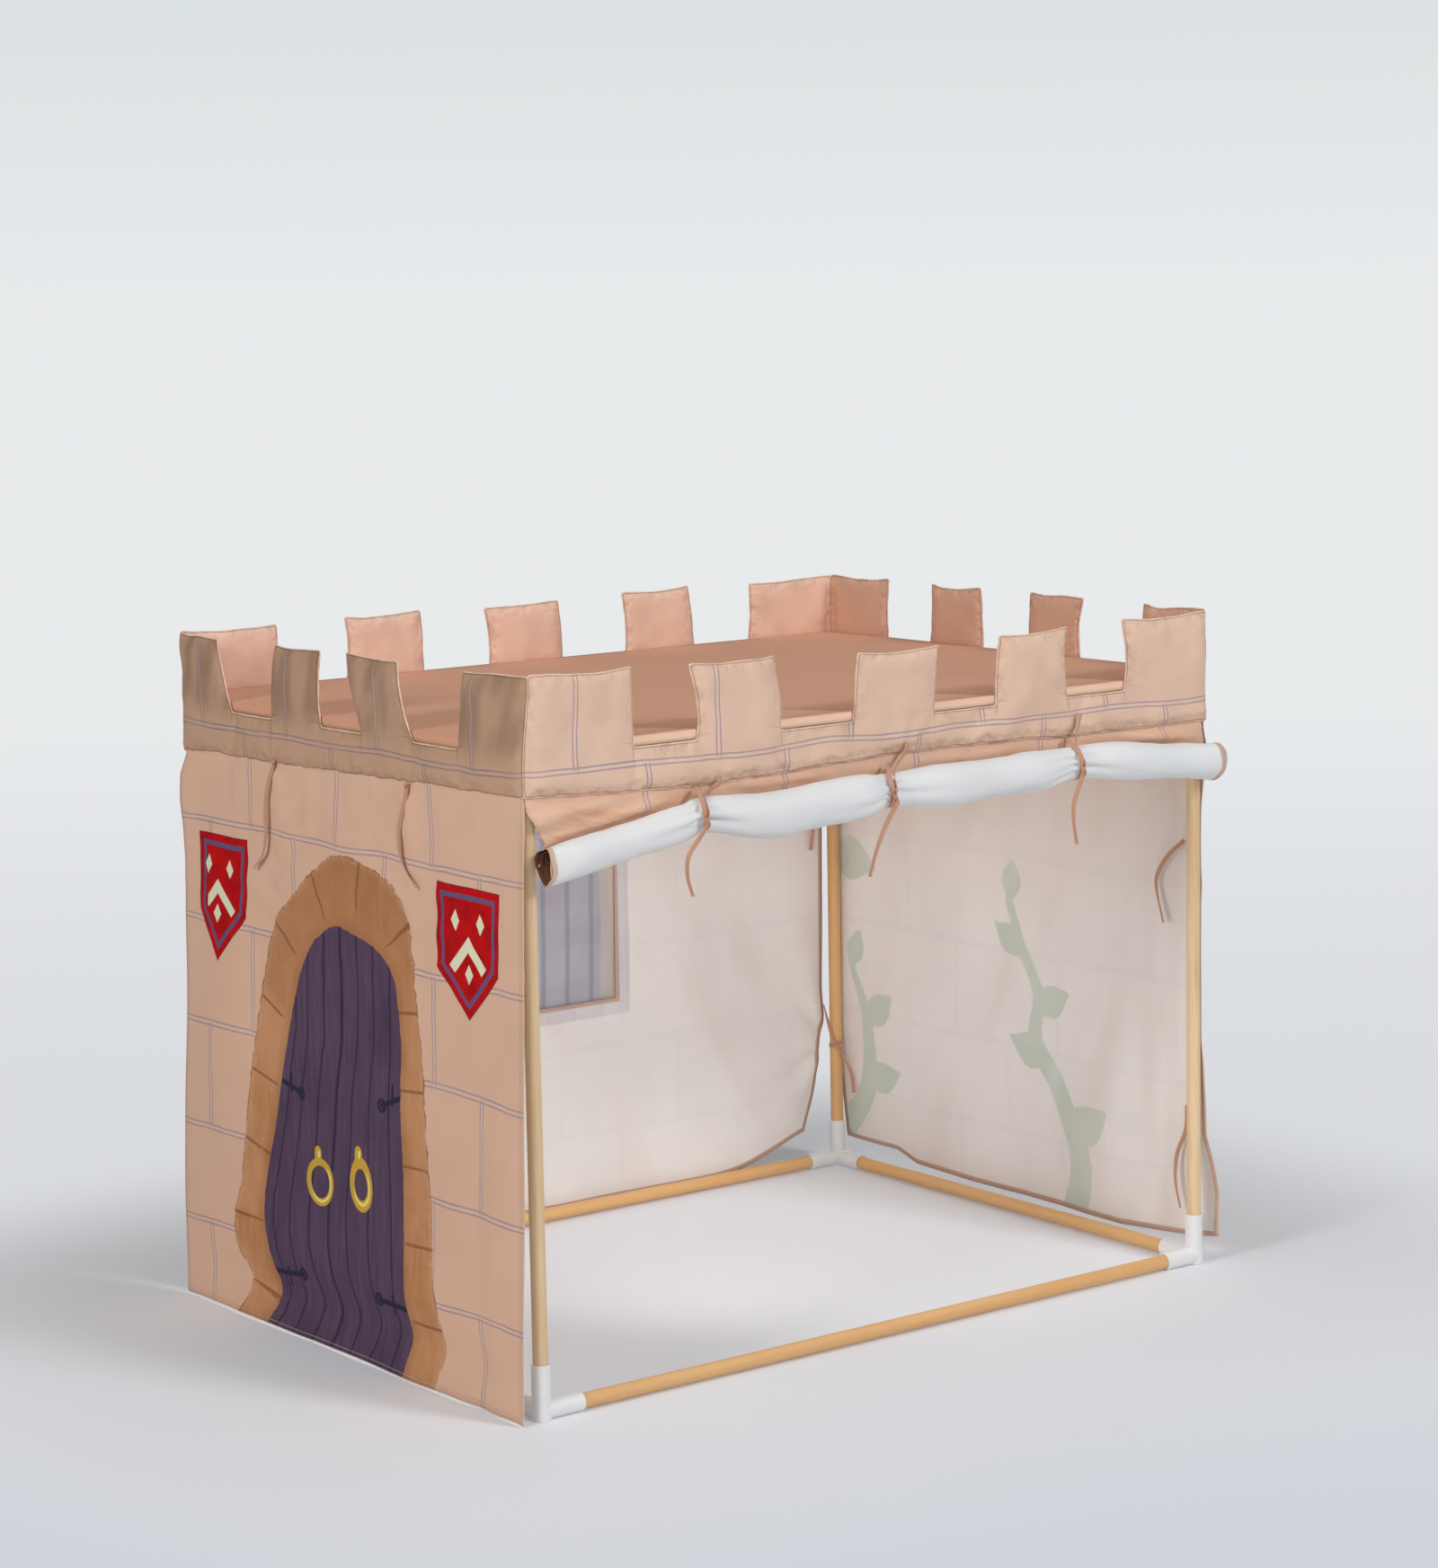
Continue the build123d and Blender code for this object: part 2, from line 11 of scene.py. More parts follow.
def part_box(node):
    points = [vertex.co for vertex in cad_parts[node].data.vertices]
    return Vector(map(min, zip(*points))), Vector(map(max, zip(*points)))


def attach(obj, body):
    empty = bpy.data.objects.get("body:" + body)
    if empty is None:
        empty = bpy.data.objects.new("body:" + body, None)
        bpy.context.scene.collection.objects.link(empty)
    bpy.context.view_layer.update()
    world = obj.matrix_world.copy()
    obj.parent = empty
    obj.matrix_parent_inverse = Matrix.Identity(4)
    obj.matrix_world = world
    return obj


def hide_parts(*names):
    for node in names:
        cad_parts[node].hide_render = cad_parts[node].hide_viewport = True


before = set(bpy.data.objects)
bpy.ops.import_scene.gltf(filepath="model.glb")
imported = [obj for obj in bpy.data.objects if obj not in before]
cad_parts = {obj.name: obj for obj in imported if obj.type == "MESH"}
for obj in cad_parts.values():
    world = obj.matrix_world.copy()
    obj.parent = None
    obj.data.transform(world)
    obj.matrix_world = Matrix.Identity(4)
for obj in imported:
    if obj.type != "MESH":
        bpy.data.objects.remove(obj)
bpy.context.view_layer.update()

MM = 0.001


def span(node):
    """A node's lowest and highest corners in millimetres."""
    low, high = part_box(node)
    return np.array(low) / MM, np.array(high) / MM


near_post = sum(span("upright_front_left")) / 2
far_post = sum(span("upright_back_right")) / 2
LEFT, FRONT = near_post[:2]
RIGHT, BACK = far_post[:2]
MIDDLE_X = (LEFT + RIGHT) / 2
MIDDLE_Y = (FRONT + BACK) / 2
HALF_X = (RIGHT - LEFT) / 2
HALF_Y = (BACK - FRONT) / 2

# How far the cloths stand from the posts' axes, and their heights
CLOTH_IN = 16.6
CLOTH_OUT = 18.1
WALL_TOP = 1060.0
ROOF_TOP = 1079.5
ROOF_DROP = 17.0
BAND_FOOT = 990.0
CRENEL = 1063.0
MERLON_TOP = 1190.0
CLOTH = 1.2
THIN_CLOTH = 1.0
HEM_WIDTH = 10.0

# The window's opening: its middle's height and half its size
WINDOW_HEIGHT = 602
WINDOW_HALF = 188

# Printed stones: heights of the course lines, a stone's size, and each wall's first joint
COURSES = (-28.0, 150.0, 319.0, 505.0, 687.0, 865.0, 1035.0, 1212.0)
COURSE_HEIGHT = 178.0
STONE_LENGTH = 282.0
SIDE_JOINT, BACK_JOINT, FRONT_JOINT = 17.0, 60.0, -786.5


def tone(red, green, blue):
    """A colour given as 0 to 255 on screen, for a shader."""
    parts = [c / 255 for c in (red, green, blue)]
    return (*[c / 12.92 if c < 0.04045 else ((c + 0.055) / 1.055) ** 2.4 for c in parts], 1.0)


PEACH = tone(222, 182, 157)
# painted shade: the door side's parapet print is multiplied by this to darken it
LEFT_PAINTED_SHADE = tone(219, 215, 207)
# the roof cloth, darker than the same cloth on the parapets' plain side, as painted shade
ROOF = tone(211, 157, 128)
PLAIN = tone(240, 200, 178)
INSIDE = tone(250, 246, 242)
MORTAR = tone(165, 145, 153)
MORTAR_FILL = tone(226, 196, 180)
OCHRE = tone(203, 146, 105)
OCHRE_DARK = tone(158, 106, 68)
PLUM = tone(84, 66, 88)
PLUM_DARK = tone(48, 36, 58)
IRON = tone(45, 43, 62)
GOLD = tone(208, 166, 62)
GOLD_LIGHT = tone(240, 226, 130)
RED = tone(198, 4, 8)
SLATE = tone(104, 84, 122)
CREAM = tone(226, 226, 196)
GREEN = tone(150, 186, 150)
LILAC = tone(203, 200, 209)
HEM = tone(210, 172, 150)
LINING = tone(227, 227, 227)
TAPE = tone(190, 140, 114)
BACKDROP = tone(232, 234, 236)
FLOOR = 60000.0


def waves(u, v, size, seed):
    """Smooth noise from -1 to 1 over two coordinates, in cells of a given size."""
    table = np.random.RandomState(seed).uniform(-1, 1, (64, 64))
    a = np.asarray(u, float) / size + 32.0
    b = np.asarray(v, float) / size + 32.0
    i, j = np.floor(a).astype(int), np.floor(b).astype(int)
    s, t = a - i, b - j
    s, t = s * s * (3 - 2 * s), t * t * (3 - 2 * t)
    near = table[i % 64, j % 64] * (1 - s) + table[(i + 1) % 64, j % 64] * s
    far = table[i % 64, (j + 1) % 64] * (1 - s) + table[(i + 1) % 64, (j + 1) % 64] * s
    return near * (1 - t) + far * t


def smooth(low, high, value):
    """0 below low, 1 above high, and a smooth rise between."""
    t = np.clip((np.asarray(value, float) - low) / (high - low), 0, 1)
    return t * t * (3 - 2 * t)


def bell(value, middle, width):
    """1 at the middle, falling off smoothly to both sides."""
    return np.exp(-((value - middle) / width) ** 2)


def spline(points, count=8, closed=False):
    """A smooth line through the points, with count steps between each two."""
    points = np.array(points, float)
    if closed:
        before, after = points[-1:], points[:2]
    else:
        before, after = 2 * points[:1] - points[1:2], 2 * points[-1:] - points[-2:-1]
    p = np.concatenate([before, points, after])
    out = []
    for i in range(1, len(p) - 2):
        for t in np.arange(count) / count:
            out.append(0.5 * (
                2 * p[i] + (p[i + 1] - p[i - 1]) * t
                + (2 * p[i - 1] - 5 * p[i] + 4 * p[i + 1] - p[i + 2]) * t ** 2
                + (3 * p[i] - p[i - 1] - 3 * p[i + 1] + p[i + 2]) * t ** 3
            ))
    if not closed:
        out.append(points[-1])
    return np.array(out)


def line_distance(u, v, line, closed=False):
    """Distance from points to a line, signed and below 0 inside where it is closed."""
    nearest = np.full(np.shape(u), 1e9)
    inside = np.zeros(np.shape(u), bool)
    ends = np.roll(line, -1, axis=0) if closed else line[1:]
    for (ax, ay), (bx, by) in zip(line, ends):
        dx, dy = bx - ax, by - ay
        t = np.clip(((u - ax) * dx + (v - ay) * dy) / (dx * dx + dy * dy + 1e-9), 0, 1)
        nearest = np.minimum(nearest, np.hypot(u - ax - t * dx, v - ay - t * dy))
        if closed and by != ay:
            inside ^= ((ay > v) != (by > v)) & (u < dx * (v - ay) / dy + ax)
    return np.where(inside, -nearest, nearest)


# Materials


class Signal:
    """One output of a node; arithmetic with it builds further nodes."""

    def __init__(self, paint, socket):
        self.paint, self.socket = paint, socket

    def __add__(self, other):
        return self.paint.math("ADD", self, other)

    def __sub__(self, other):
        return self.paint.math("SUBTRACT", self, other)

    def __rsub__(self, other):
        return self.paint.math("SUBTRACT", other, self)

    def __mul__(self, other):
        return self.paint.math("MULTIPLY", self, other)

    def __truediv__(self, other):
        return self.paint.math("DIVIDE", self, other)

    def __mod__(self, other):
        return self.paint.math("MODULO", self, other)

    def __abs__(self):
        return self.paint.math("ABSOLUTE", self)


class Paint:
    """Short calls that build the nodes of one material or world."""

    def __init__(self, name, kind="materials"):
        self.owner = getattr(bpy.data, kind).new(name)
        self.owner.use_nodes = True
        self.tree = self.owner.node_tree
        self.tree.nodes.clear()

    def node(self, kind, inputs=None, out=0, **settings):
        """Build a node, and give one of its outputs if it has any."""
        made = self.tree.nodes.new("ShaderNode" + kind)
        for key, value in settings.items():
            setattr(made, key, value)
        for key, value in (inputs or {}).items():
            if isinstance(value, Signal):
                self.tree.links.new(value.socket, made.inputs[key])
            else:
                made.inputs[key].default_value = value
        return Signal(self, made.outputs[out]) if made.outputs else None

    def math(self, operation, *values):
        return self.node("Math", dict(enumerate(values)), operation=operation)

    def vector(self, operation, *values, out=0):
        return self.node("VectorMath", dict(enumerate(values)), out, operation=operation)

    def mix(self, factor, below, above, blend="MIX"):
        return self.node("Mix", {0: factor, 6: below, 7: above}, 2, data_type="RGBA", blend_type=blend)

    def rise(self, value, low, high):
        """0 below low and 1 above high, or the other way round where low is above high."""
        inputs = {"Value": value, "From Min": low, "From Max": high}
        return self.node("MapRange", inputs, interpolation_type="SMOOTHSTEP")

    def world(self):
        return self.node("TexCoord", out="Object")

    def noise(self, place, scale, detail):
        inputs = {"Vector": place, "Scale": scale, "Detail": detail, "Roughness": 0.55}
        return self.node("TexNoise", inputs)

    def patches(self, place, scale, detail, low, high):
        """Noise that rises smoothly from 0 where it is low to 1 where it is high."""
        return self.rise(self.noise(place, scale, detail), low, high)

    def ragged(self, place, scale, detail, size):
        """Noise round 0, which makes a drawn edge uneven by up to half of size."""
        return (self.noise(place, scale, detail) - 0.5) * size

    def stored(self, name, out="Fac"):
        return self.node("Attribute", out=out, attribute_name=name)

    def parts(self, vector):
        first = self.node("SeparateXYZ", {0: vector})
        return [Signal(self, socket) for socket in first.socket.node.outputs]

    def chain(self, operation, values):
        result = values[0]
        for value in values[1:]:
            result = self.math(operation, result, value)
        return result

    def most(self, *values):
        return self.chain("MAXIMUM", values)

    def least(self, *values):
        return self.chain("MINIMUM", values)

    def to_joint(self, value, size):
        """Distance to the nearest whole number, in millimetres where one step is size long."""
        part = self.math("FRACT", value)
        return self.least(part, 1.0 - part) * size

    def bump(self, height, distance, strength, below=None):
        inputs = {"Height": height, "Distance": distance, "Strength": strength}
        if below is not None:
            inputs["Normal"] = below
        return self.node("Bump", inputs)

    def finish(self, colour, normal, glow=0.0, **inputs):
        """The shader, with some light let through where glow is above 0."""
        names = {"Base Color": colour, "Normal": normal}
        names.update({key.replace("_", " "): value for key, value in inputs.items()})
        surface = self.node("BsdfPrincipled", names)
        if glow:
            through = self.node("BsdfTranslucent", {"Color": colour})
            surface = self.node("MixShader", {0: glow, 1: surface, 2: through})
        self.node("OutputMaterial", {0: surface})
        return self.owner

    # Printed shapes, in millimetres on the cloth

    def near(self, place, a, b, width):
        """1 on a stroke from a to b."""
        run = (b[0] - a[0], b[1] - a[1], 0)
        length = run[0] ** 2 + run[1] ** 2
        offset = self.vector("SUBTRACT", place, (*a, 0))
        along = self.vector("DOT_PRODUCT", offset, run, out=1) / length
        along = self.least(self.most(along, 0.0), 1.0)
        foot = self.node("VectorMath", {0: run, "Scale": along}, operation="SCALE")
        away = self.vector("LENGTH", self.vector("SUBTRACT", offset, foot), out=1)
        return self.rise(away, width / 2 + 0.8, width / 2 - 0.8)

    def ring(self, place, centre, radius, width, squeeze=1.0):
        """1 on a ring, or on a disc where the radius is 0."""
        offset = self.vector("SUBTRACT", place, (*centre, 0))
        offset = self.vector("MULTIPLY", offset, (1.0, squeeze, 0))
        away = self.vector("LENGTH", offset, out=1)
        away = abs(away - radius)
        return self.rise(away, width / 2 + 0.8, width / 2 - 0.8)

    def convex(self, place, corners):
        """Distance into a convex outline given anticlockwise, above 0 inside."""
        sides = []
        for (ax, ay), (bx, by) in zip(corners, corners[1:] + corners[:1]):
            length = math.hypot(bx - ax, by - ay)
            inward = ((ay - by) / length, (bx - ax) / length, 0)
            depth = self.vector("DOT_PRODUCT", place, inward, out=1)
            sides.append(depth - (ax * inward[0] + ay * inward[1]))
        return self.least(*sides)


def weave(paint, place, colour, folds):
    """A cloth's uneven tone and its bump: threads, and creases too fine for the mesh."""
    world = paint.world()
    cloud = paint.noise(world, 5.0, 2.0)
    fibre = paint.noise(world, 420.0, 1.0)
    shade = cloud * 0.14 + fibre * 0.07
    light = paint.node("CombineColor", {i: shade + 0.895 for i in range(3)})
    colour = paint.mix(1.0, colour, light, "MULTIPLY")
    across, up, _ = paint.parts(place)
    thread = paint.math("SINE", across * 7.4) * paint.math("SINE", up * 6.9)
    normal = paint.bump(thread, 0.00006, 0.5)
    crease = paint.noise(world, 26.0, 2.0)
    return colour, paint.bump(crease, 0.004, folds, normal)


def hem(paint, place, colour, normal, ink, strength):
    """The sewn fold along a cloth's free edges, with its line of stitches."""
    edge = paint.stored("edge")
    across, up, _ = paint.parts(place)
    fold = paint.rise(edge, HEM_WIDTH + 1.2, HEM_WIDTH - 0.6)
    dash = paint.math("SINE", (across + up) * 1.9)
    row = abs(edge - (HEM_WIDTH - 2.0))
    stitch = paint.rise(row, 1.1, 0.4) * paint.rise(dash, -0.4, 0.2)
    colour = paint.mix(fold * strength, colour, ink)
    colour = paint.mix(stitch * 0.55, colour, tone(242, 226, 210))
    colour = paint.mix(paint.rise(edge, 1.8, 0.4) * 0.4, colour, tone(244, 222, 200))
    height = fold - paint.rise(row, 1.6, 0.3) * 0.6
    return colour, paint.bump(height, 0.0012, 0.8, normal)


def seam(paint, colour, normal):
    """The turned seam at a padded piece's edges: a fine groove and small puckers beside it, with painted shade
    in the groove, the puckers and broad soft dents, and a paler line along the very edge.
    """
    edge = paint.stored("edge")
    world = paint.world()
    groove = paint.rise(edge, 4.6, 3.2) * paint.rise(edge, 1.4, 2.8)
    # painted shade in the groove
    colour = paint.mix(groove * 0.3, colour, tone(122, 88, 72))
    colour = paint.mix(paint.rise(edge, 2.0, 0.8) * 0.4, colour, tone(248, 220, 200))
    crease = paint.patches(world, 62.0, 1.0, 0.5, 0.66) * paint.rise(edge, 26.0, 4.0)
    # painted shade in the puckers near the edges
    colour = paint.mix(crease * 0.2, colour, tone(158, 118, 98))
    # painted shade in broad soft dents
    colour = paint.mix(paint.patches(world, 13.0, 1.0, 0.46, 0.66) * 0.16, colour, tone(186, 150, 130))
    lump = paint.noise(world, 62.0, 1.0) * paint.rise(edge, 36.0, 4.0)
    height = lump * -1.0 - groove * 0.25
    return colour, paint.bump(height, 0.008, 0.8, normal)


def stones(paint, colour, strength):
    """Double mortar lines in courses, drawn by hand."""
    across, up, _ = paint.parts(paint.stored("brick", "Vector"))
    row = paint.math("FLOOR", up)
    level = paint.to_joint(up, COURSE_HEIGHT)
    shift = (row + 1.0) % 2.0 * 0.5
    joint = paint.to_joint(across + shift, STONE_LENGTH)
    world = paint.world()
    wash = paint.noise(world, 14.0, 2.0) * 0.6 + 0.55
    lines, fills = [], []
    for distance in (level, joint):
        lines.append(paint.rise(abs(distance - 4.0), 2.1, 0.8))
        fills.append(paint.rise(distance, 5.0, 2.5))
    colour = paint.mix(paint.most(*fills) * (0.32 * strength), colour, MORTAR_FILL)
    ink = paint.most(*lines) * wash * strength
    return paint.mix(ink, colour, MORTAR)


def drape(paint, place, colour, normal):
    """Long soft folds that run down a thin hanging wall, seen from its pale side: painted shade and painted
    highlight along them, painted shade towards the top, and a bump.
    """
    across, up, _ = paint.parts(place)
    slant = across * 0.0062 + up * 0.0021
    fold = paint.noise(paint.node("CombineXYZ", {0: slant, 1: up * 0.0017}), 1.0, 1.0)
    # painted shade and painted highlight along the folds
    colour = paint.mix(paint.rise(fold, 0.5, 0.75) * 0.35, colour, tone(230, 212, 200))
    colour = paint.mix(paint.rise(fold, 0.46, 0.28) * 0.5, colour, tone(255, 254, 253))
    # warmer and darker towards the top: painted shade under the roof
    colour = paint.mix(paint.rise(up, 520.0, 980.0) * 0.6, colour, tone(228, 202, 184))
    return colour, paint.bump(fold, 0.03, 0.6, normal)


def cloth(name, colour, draw=None, strength=1.0, hemmed=0.1, folds=0.35, glow=0.0,
          ink=tone(120, 84, 70), padded=False, draped=False):
    """A woven cloth, with a print drawn by a function of the paint, its place and its colour."""
    paint = Paint(name)
    place = paint.stored("print", "Vector")
    if draw is not None:
        colour = draw(paint, place, colour, strength)
    colour, normal = weave(paint, place, colour, folds)
    # painted shade and painted highlight of soft folds, for the pale inner walls
    if draped:
        colour, normal = drape(paint, place, colour, normal)
    if padded:
        colour, normal = seam(paint, colour, normal)
    elif hemmed:
        colour, normal = hem(paint, place, colour, normal, ink, hemmed)
    return paint.finish(colour, normal, glow, Roughness=0.88, Sheen_Weight=0.03,
                        Sheen_Roughness=0.4, Specular_IOR_Level=0.15)


def draw_stones(paint, place, colour, strength):
    """Stones and nothing else."""
    return stones(paint, colour, strength)


def draw_stones_painted_shade(paint, place, colour, strength):
    """The door side's band, darkened all over and in soft folds up its merlons as painted shade."""
    across, up, _ = paint.parts(place)
    # painted shade in soft upright folds up the merlons
    slant = across * 0.017 + up * 0.004
    fold = paint.patches(paint.node("CombineXYZ", {0: slant, 1: up * 0.006}), 1.0, 1.0, 0.4, 0.64)
    share = paint.rise(up, 1035.0, 1095.0) * (fold * 0.5 + 0.2)
    colour = paint.mix(share, colour, tone(160, 130, 108))
    # painted shade over the whole door side's band
    return paint.mix(1.0, stones(paint, colour, strength), LEFT_PAINTED_SHADE, "MULTIPLY")


def draw_shield(paint, place, colour, corners, strength):
    """A plain heraldic shield: a cream chevron between three lozenges on red."""
    depth = paint.convex(place, corners)
    inside = paint.rise(depth, -0.8, 0.8)
    top = max(corner[1] for corner in corners)
    middle = corners[0][0]
    world = paint.world()
    colour_in = paint.mix(paint.patches(world, 40.0, 3.0, 0.35, 0.7), RED, tone(168, 3, 8))
    band = paint.rise(depth, 12.5, 14.0) * paint.rise(depth, 22.5, 21.0)
    colour_in = paint.mix(band, colour_in, SLATE)
    colour_in = paint.mix(paint.rise(depth, 2.4, 0.8) * 0.8, colour_in, tone(70, 34, 54))
    side, up, _ = paint.parts(paint.vector("SUBTRACT", place, (middle, 0, 0)))
    slope = up + abs(side) * 0.9
    stripe = abs(slope - (top - 92.0))
    marks = [paint.rise(stripe, 13.0, 11.5) * paint.rise(depth, 30.0, 31.5)]
    for across, drop in ((-36.0, 58.0), (36.0, 58.0), (0.0, 140.0)):
        spot = paint.vector("SUBTRACT", place, (middle + across, top - drop, 0))
        reach = paint.vector("DOT_PRODUCT", paint.vector("ABSOLUTE", spot), (1.0, 0.72, 0), out=1)
        marks.append(paint.rise(reach, 13.0, 11.5))
    colour_in = paint.mix(paint.most(*marks), colour_in, CREAM)
    return paint.mix(inside * strength, colour, colour_in)


LEFT_SHIELD = [(410.0, 618.0), (474.0, 706.0), (480.0, 840.0), (312.0, 844.0), (318.0, 706.0)]
RIGHT_SHIELD = [(-370.0, 628.0), (-276.0, 706.0), (-277.0, 842.0), (-466.0, 844.0), (-458.0, 708.0)]
DOOR = [
    (-163, -24), (-187, 36), (-192, 89), (-183, 144), (-175, 221), (-173, 316), (-166, 415),
    (-163, 501), (-165, 557), (-154, 633), (-131, 683), (-87, 710), (-20, 722), (26, 729),
    (70, 710), (99, 685), (135, 630), (173, 535), (203, 444), (220, 380), (245, 298), (263, 231),
    (261, 185), (240, 120), (222, 64), (237, 24), (286, -24),
]
ARCH = [
    (-268, -24), (-290, 71), (-282, 135), (-267, 218), (-260, 303), (-246, 386), (-236, 487),
    (-230, 556), (-216, 640), (-204, 738), (-186, 786), (-146, 820), (-72, 844), (-4, 853),
    (51, 840), (116, 801), (166, 761), (217, 717), (255, 643), (282, 553), (300, 463),
    (316, 382), (337, 245), (357, 185), (352, 120), (326, 80), (325, 39), (372, -24),
]
ARCH_MIDDLE = [
    (-226, -24), (-238, 90), (-222, 220), (-210, 400), (-198, 550), (-180, 680), (-135, 760),
    (-60, 785), (20, 792), (85, 765), (145, 700), (195, 610), (235, 500), (262, 380), (292, 240),
    (305, 180), (282, 80), (310, -24),
]
ARCH_STONE = 128.0
# Planks: place across the door from -1 to 1, and the gap's width
PLANKS = ((-0.82, 2.5), (-0.52, 2.5), (-0.22, 3.0), (0.06, 5.5), (0.34, 3.0), (0.62, 2.5), (0.86, 2.5))
# Hinges: each strap's root and its end. Handles: centre, radius and squeeze across
HINGES = (
    ((236.0, 100.0), (140.0, 112.0)), ((204.0, 440.0), (140.0, 428.0)),
    ((-186.0, 116.0), (-100.0, 120.0)), ((-168.0, 470.0), (-112.0, 448.0)),
)
HANDLES = ((84.0, 284.0, 37.0, 1.05), (-50.0, 304.0, 26.0, 0.72))


def draw_door(paint, place, colour, strength):
    """The castle door: a stone arch round a planked door with strap hinges and two rings."""
    colour = stones(paint, colour, strength)
    world = paint.world()
    ragged = paint.ragged(world, 60.0, 4.0, 16.0)
    brush = paint.noise(paint.vector("MULTIPLY", world, (1.0, 60.0, 6.0)), 1.6, 3.0)
    blot = paint.noise(world, 9.0, 3.0)
    arch = paint.rise(paint.stored("arch") + ragged, 1.5, -2.0)
    ochre = paint.mix(paint.rise(blot, 0.35, 0.7), OCHRE, tone(184, 128, 84))
    ochre = paint.mix(paint.rise(brush, 0.45, 0.75) * 0.3, ochre, tone(214, 170, 128))
    door = paint.stored("door")
    ochre = paint.mix(paint.rise(door, 30.0, 2.0) * 0.4, ochre, OCHRE_DARK)
    high = paint.rise(paint.parts(place)[1], 520.0, 760.0)
    ochre = paint.mix(high * 0.5, ochre, tone(166, 112, 74))
    rough = paint.rise(paint.stored("arch") + ragged, -16.0, -2.0)
    dry = rough * paint.patches(world, 210.0, 2.0, 0.42, 0.6)
    ochre = paint.mix(dry * 0.55, ochre, tone(214, 172, 136))
    joint = paint.to_joint(paint.stored("block"), ARCH_STONE)
    stroke = paint.rise(joint, 3.8, 1.6) * paint.rise(paint.stored("arch"), -98.0, -74.0)
    stroke = stroke * paint.patches(world, 45.0, 2.0, 0.2, 0.4)
    rim = abs(paint.stored("arch") + ragged * 0.4)
    rim = paint.rise(rim, 4.5, 1.5) * paint.patches(world, 16.0, 2.0, 0.36, 0.56)
    ochre = paint.mix(paint.most(stroke, rim) * 0.75, ochre, tone(136, 88, 58))
    colour = paint.mix(arch * strength, colour, ochre)
    plank = paint.stored("plank")
    wide = paint.stored("wide")
    plum = paint.mix(paint.rise(brush, 0.3, 0.8), PLUM, tone(100, 78, 100))
    plum = paint.mix(paint.rise(blot, 0.45, 0.75) * 0.5, plum, tone(70, 54, 80))
    for place_on, width in PLANKS:
        away = abs(plank - place_on) * wide
        plum = paint.mix(paint.rise(away, width + 1.0, width / 3) * 0.8, plum, PLUM_DARK)
    iron = [paint.near(place, a, b, 9.0) for a, b in HINGES]
    iron += [paint.ring(place, b, 9.0, 6.0) for a, b in HINGES]
    iron += [paint.near(place, ((a[0] + b[0]) / 2, a[1] - 16), ((a[0] + b[0]) / 2, a[1] + 16), 6.0)
             for a, b in HINGES]
    plum = paint.mix(paint.most(*iron), plum, IRON)
    inside = paint.rise(door + ragged * 0.35, 1.2, -1.2)
    colour = paint.mix(inside * strength, colour, plum)
    for side, up, reach, squeeze in HANDLES:
        gold = paint.most(
            paint.ring(place, (side, up), reach, 14.0, squeeze),
            paint.near(place, (side + 8, up + 40), (side + 8, up + 52), 22.0),
        )
        colour = paint.mix(gold * strength, colour, GOLD)
        shine = paint.ring(place, (side - 1.0, up - 1.0), reach - 3.0, 4.5, squeeze)
        left, high, _ = paint.parts(paint.vector("SUBTRACT", place, (side, up, 0)))
        shine = shine * paint.rise(left + high, 14.0, -12.0)
        shine = paint.most(shine, paint.near(place, (side + 5, up + 46), (side + 5, up + 52), 7.0))
        colour = paint.mix(shine * (strength * 0.95), colour, GOLD_LIGHT)
    for corners in (LEFT_SHIELD, RIGHT_SHIELD):
        colour = draw_shield(paint, place, colour, corners, strength)
    return colour


def draw_vine(paint, place, colour, strength):
    """Stones with a plain climbing vine."""
    colour = stones(paint, colour, strength ** 2)
    world = paint.world()
    ragged = paint.ragged(world, 40.0, 4.0, 7.0)
    inside = paint.rise(paint.stored("vine") + ragged, 1.5, -1.5)
    green = paint.mix(paint.patches(world, 8.0, 2.0, 0.35, 0.7), GREEN, tone(172, 200, 168))
    return paint.mix(inside * min(1.0, strength * 1.5), colour, green)


def draw_window(paint, place, colour, strength):
    """Stones, with a band of dressed stone round the window."""
    colour = stones(paint, colour, strength ** 1.5)
    band = paint.stored("window")
    world = paint.world()
    wobble = paint.ragged(world, 25.0, 3.0, 6.0)
    inside = paint.rise(band + wobble, 37.0, 34.0)
    joints = []
    for value in paint.parts(place)[:2]:
        part = paint.math("FRACT", value / 62.0)
        joints.append(paint.rise(abs(part - 0.5), 0.045, 0.02))
    grey = paint.patches(world, 11.0, 3.0, 0.3, 0.75)
    grey = paint.mix(grey, tone(168, 156, 176), tone(196, 184, 196))
    grey = paint.mix(paint.most(*joints) * 0.45, grey, tone(120, 104, 132))
    return paint.mix(inside * min(1.0, strength * 2.5), colour, grey)


def draw_shutter(paint, place, colour, strength):
    """Grey planks with bluish lines, and the pale edge of an arched frame."""
    across = paint.parts(place)[0]
    world = paint.world()
    colour = paint.mix(paint.patches(world, 7.0, 2.0, 0.3, 0.7), colour, tone(190, 184, 192))
    bend = paint.ragged(world, 4.0, 1.0, 14.0)
    away = abs(paint.math("FRACT", (across + bend) / 56.0) - 0.5)
    colour = paint.mix(paint.rise(away, 0.16, 0.03) * (0.45 * strength), colour, tone(132, 140, 160))
    rim = paint.stored("rim")
    colour = paint.mix(paint.rise(abs(rim), 12.0, 8.0) * 0.8, colour, tone(214, 206, 196))
    return paint.mix(paint.rise(rim, 8.0, 12.0), colour, tone(222, 204, 190))


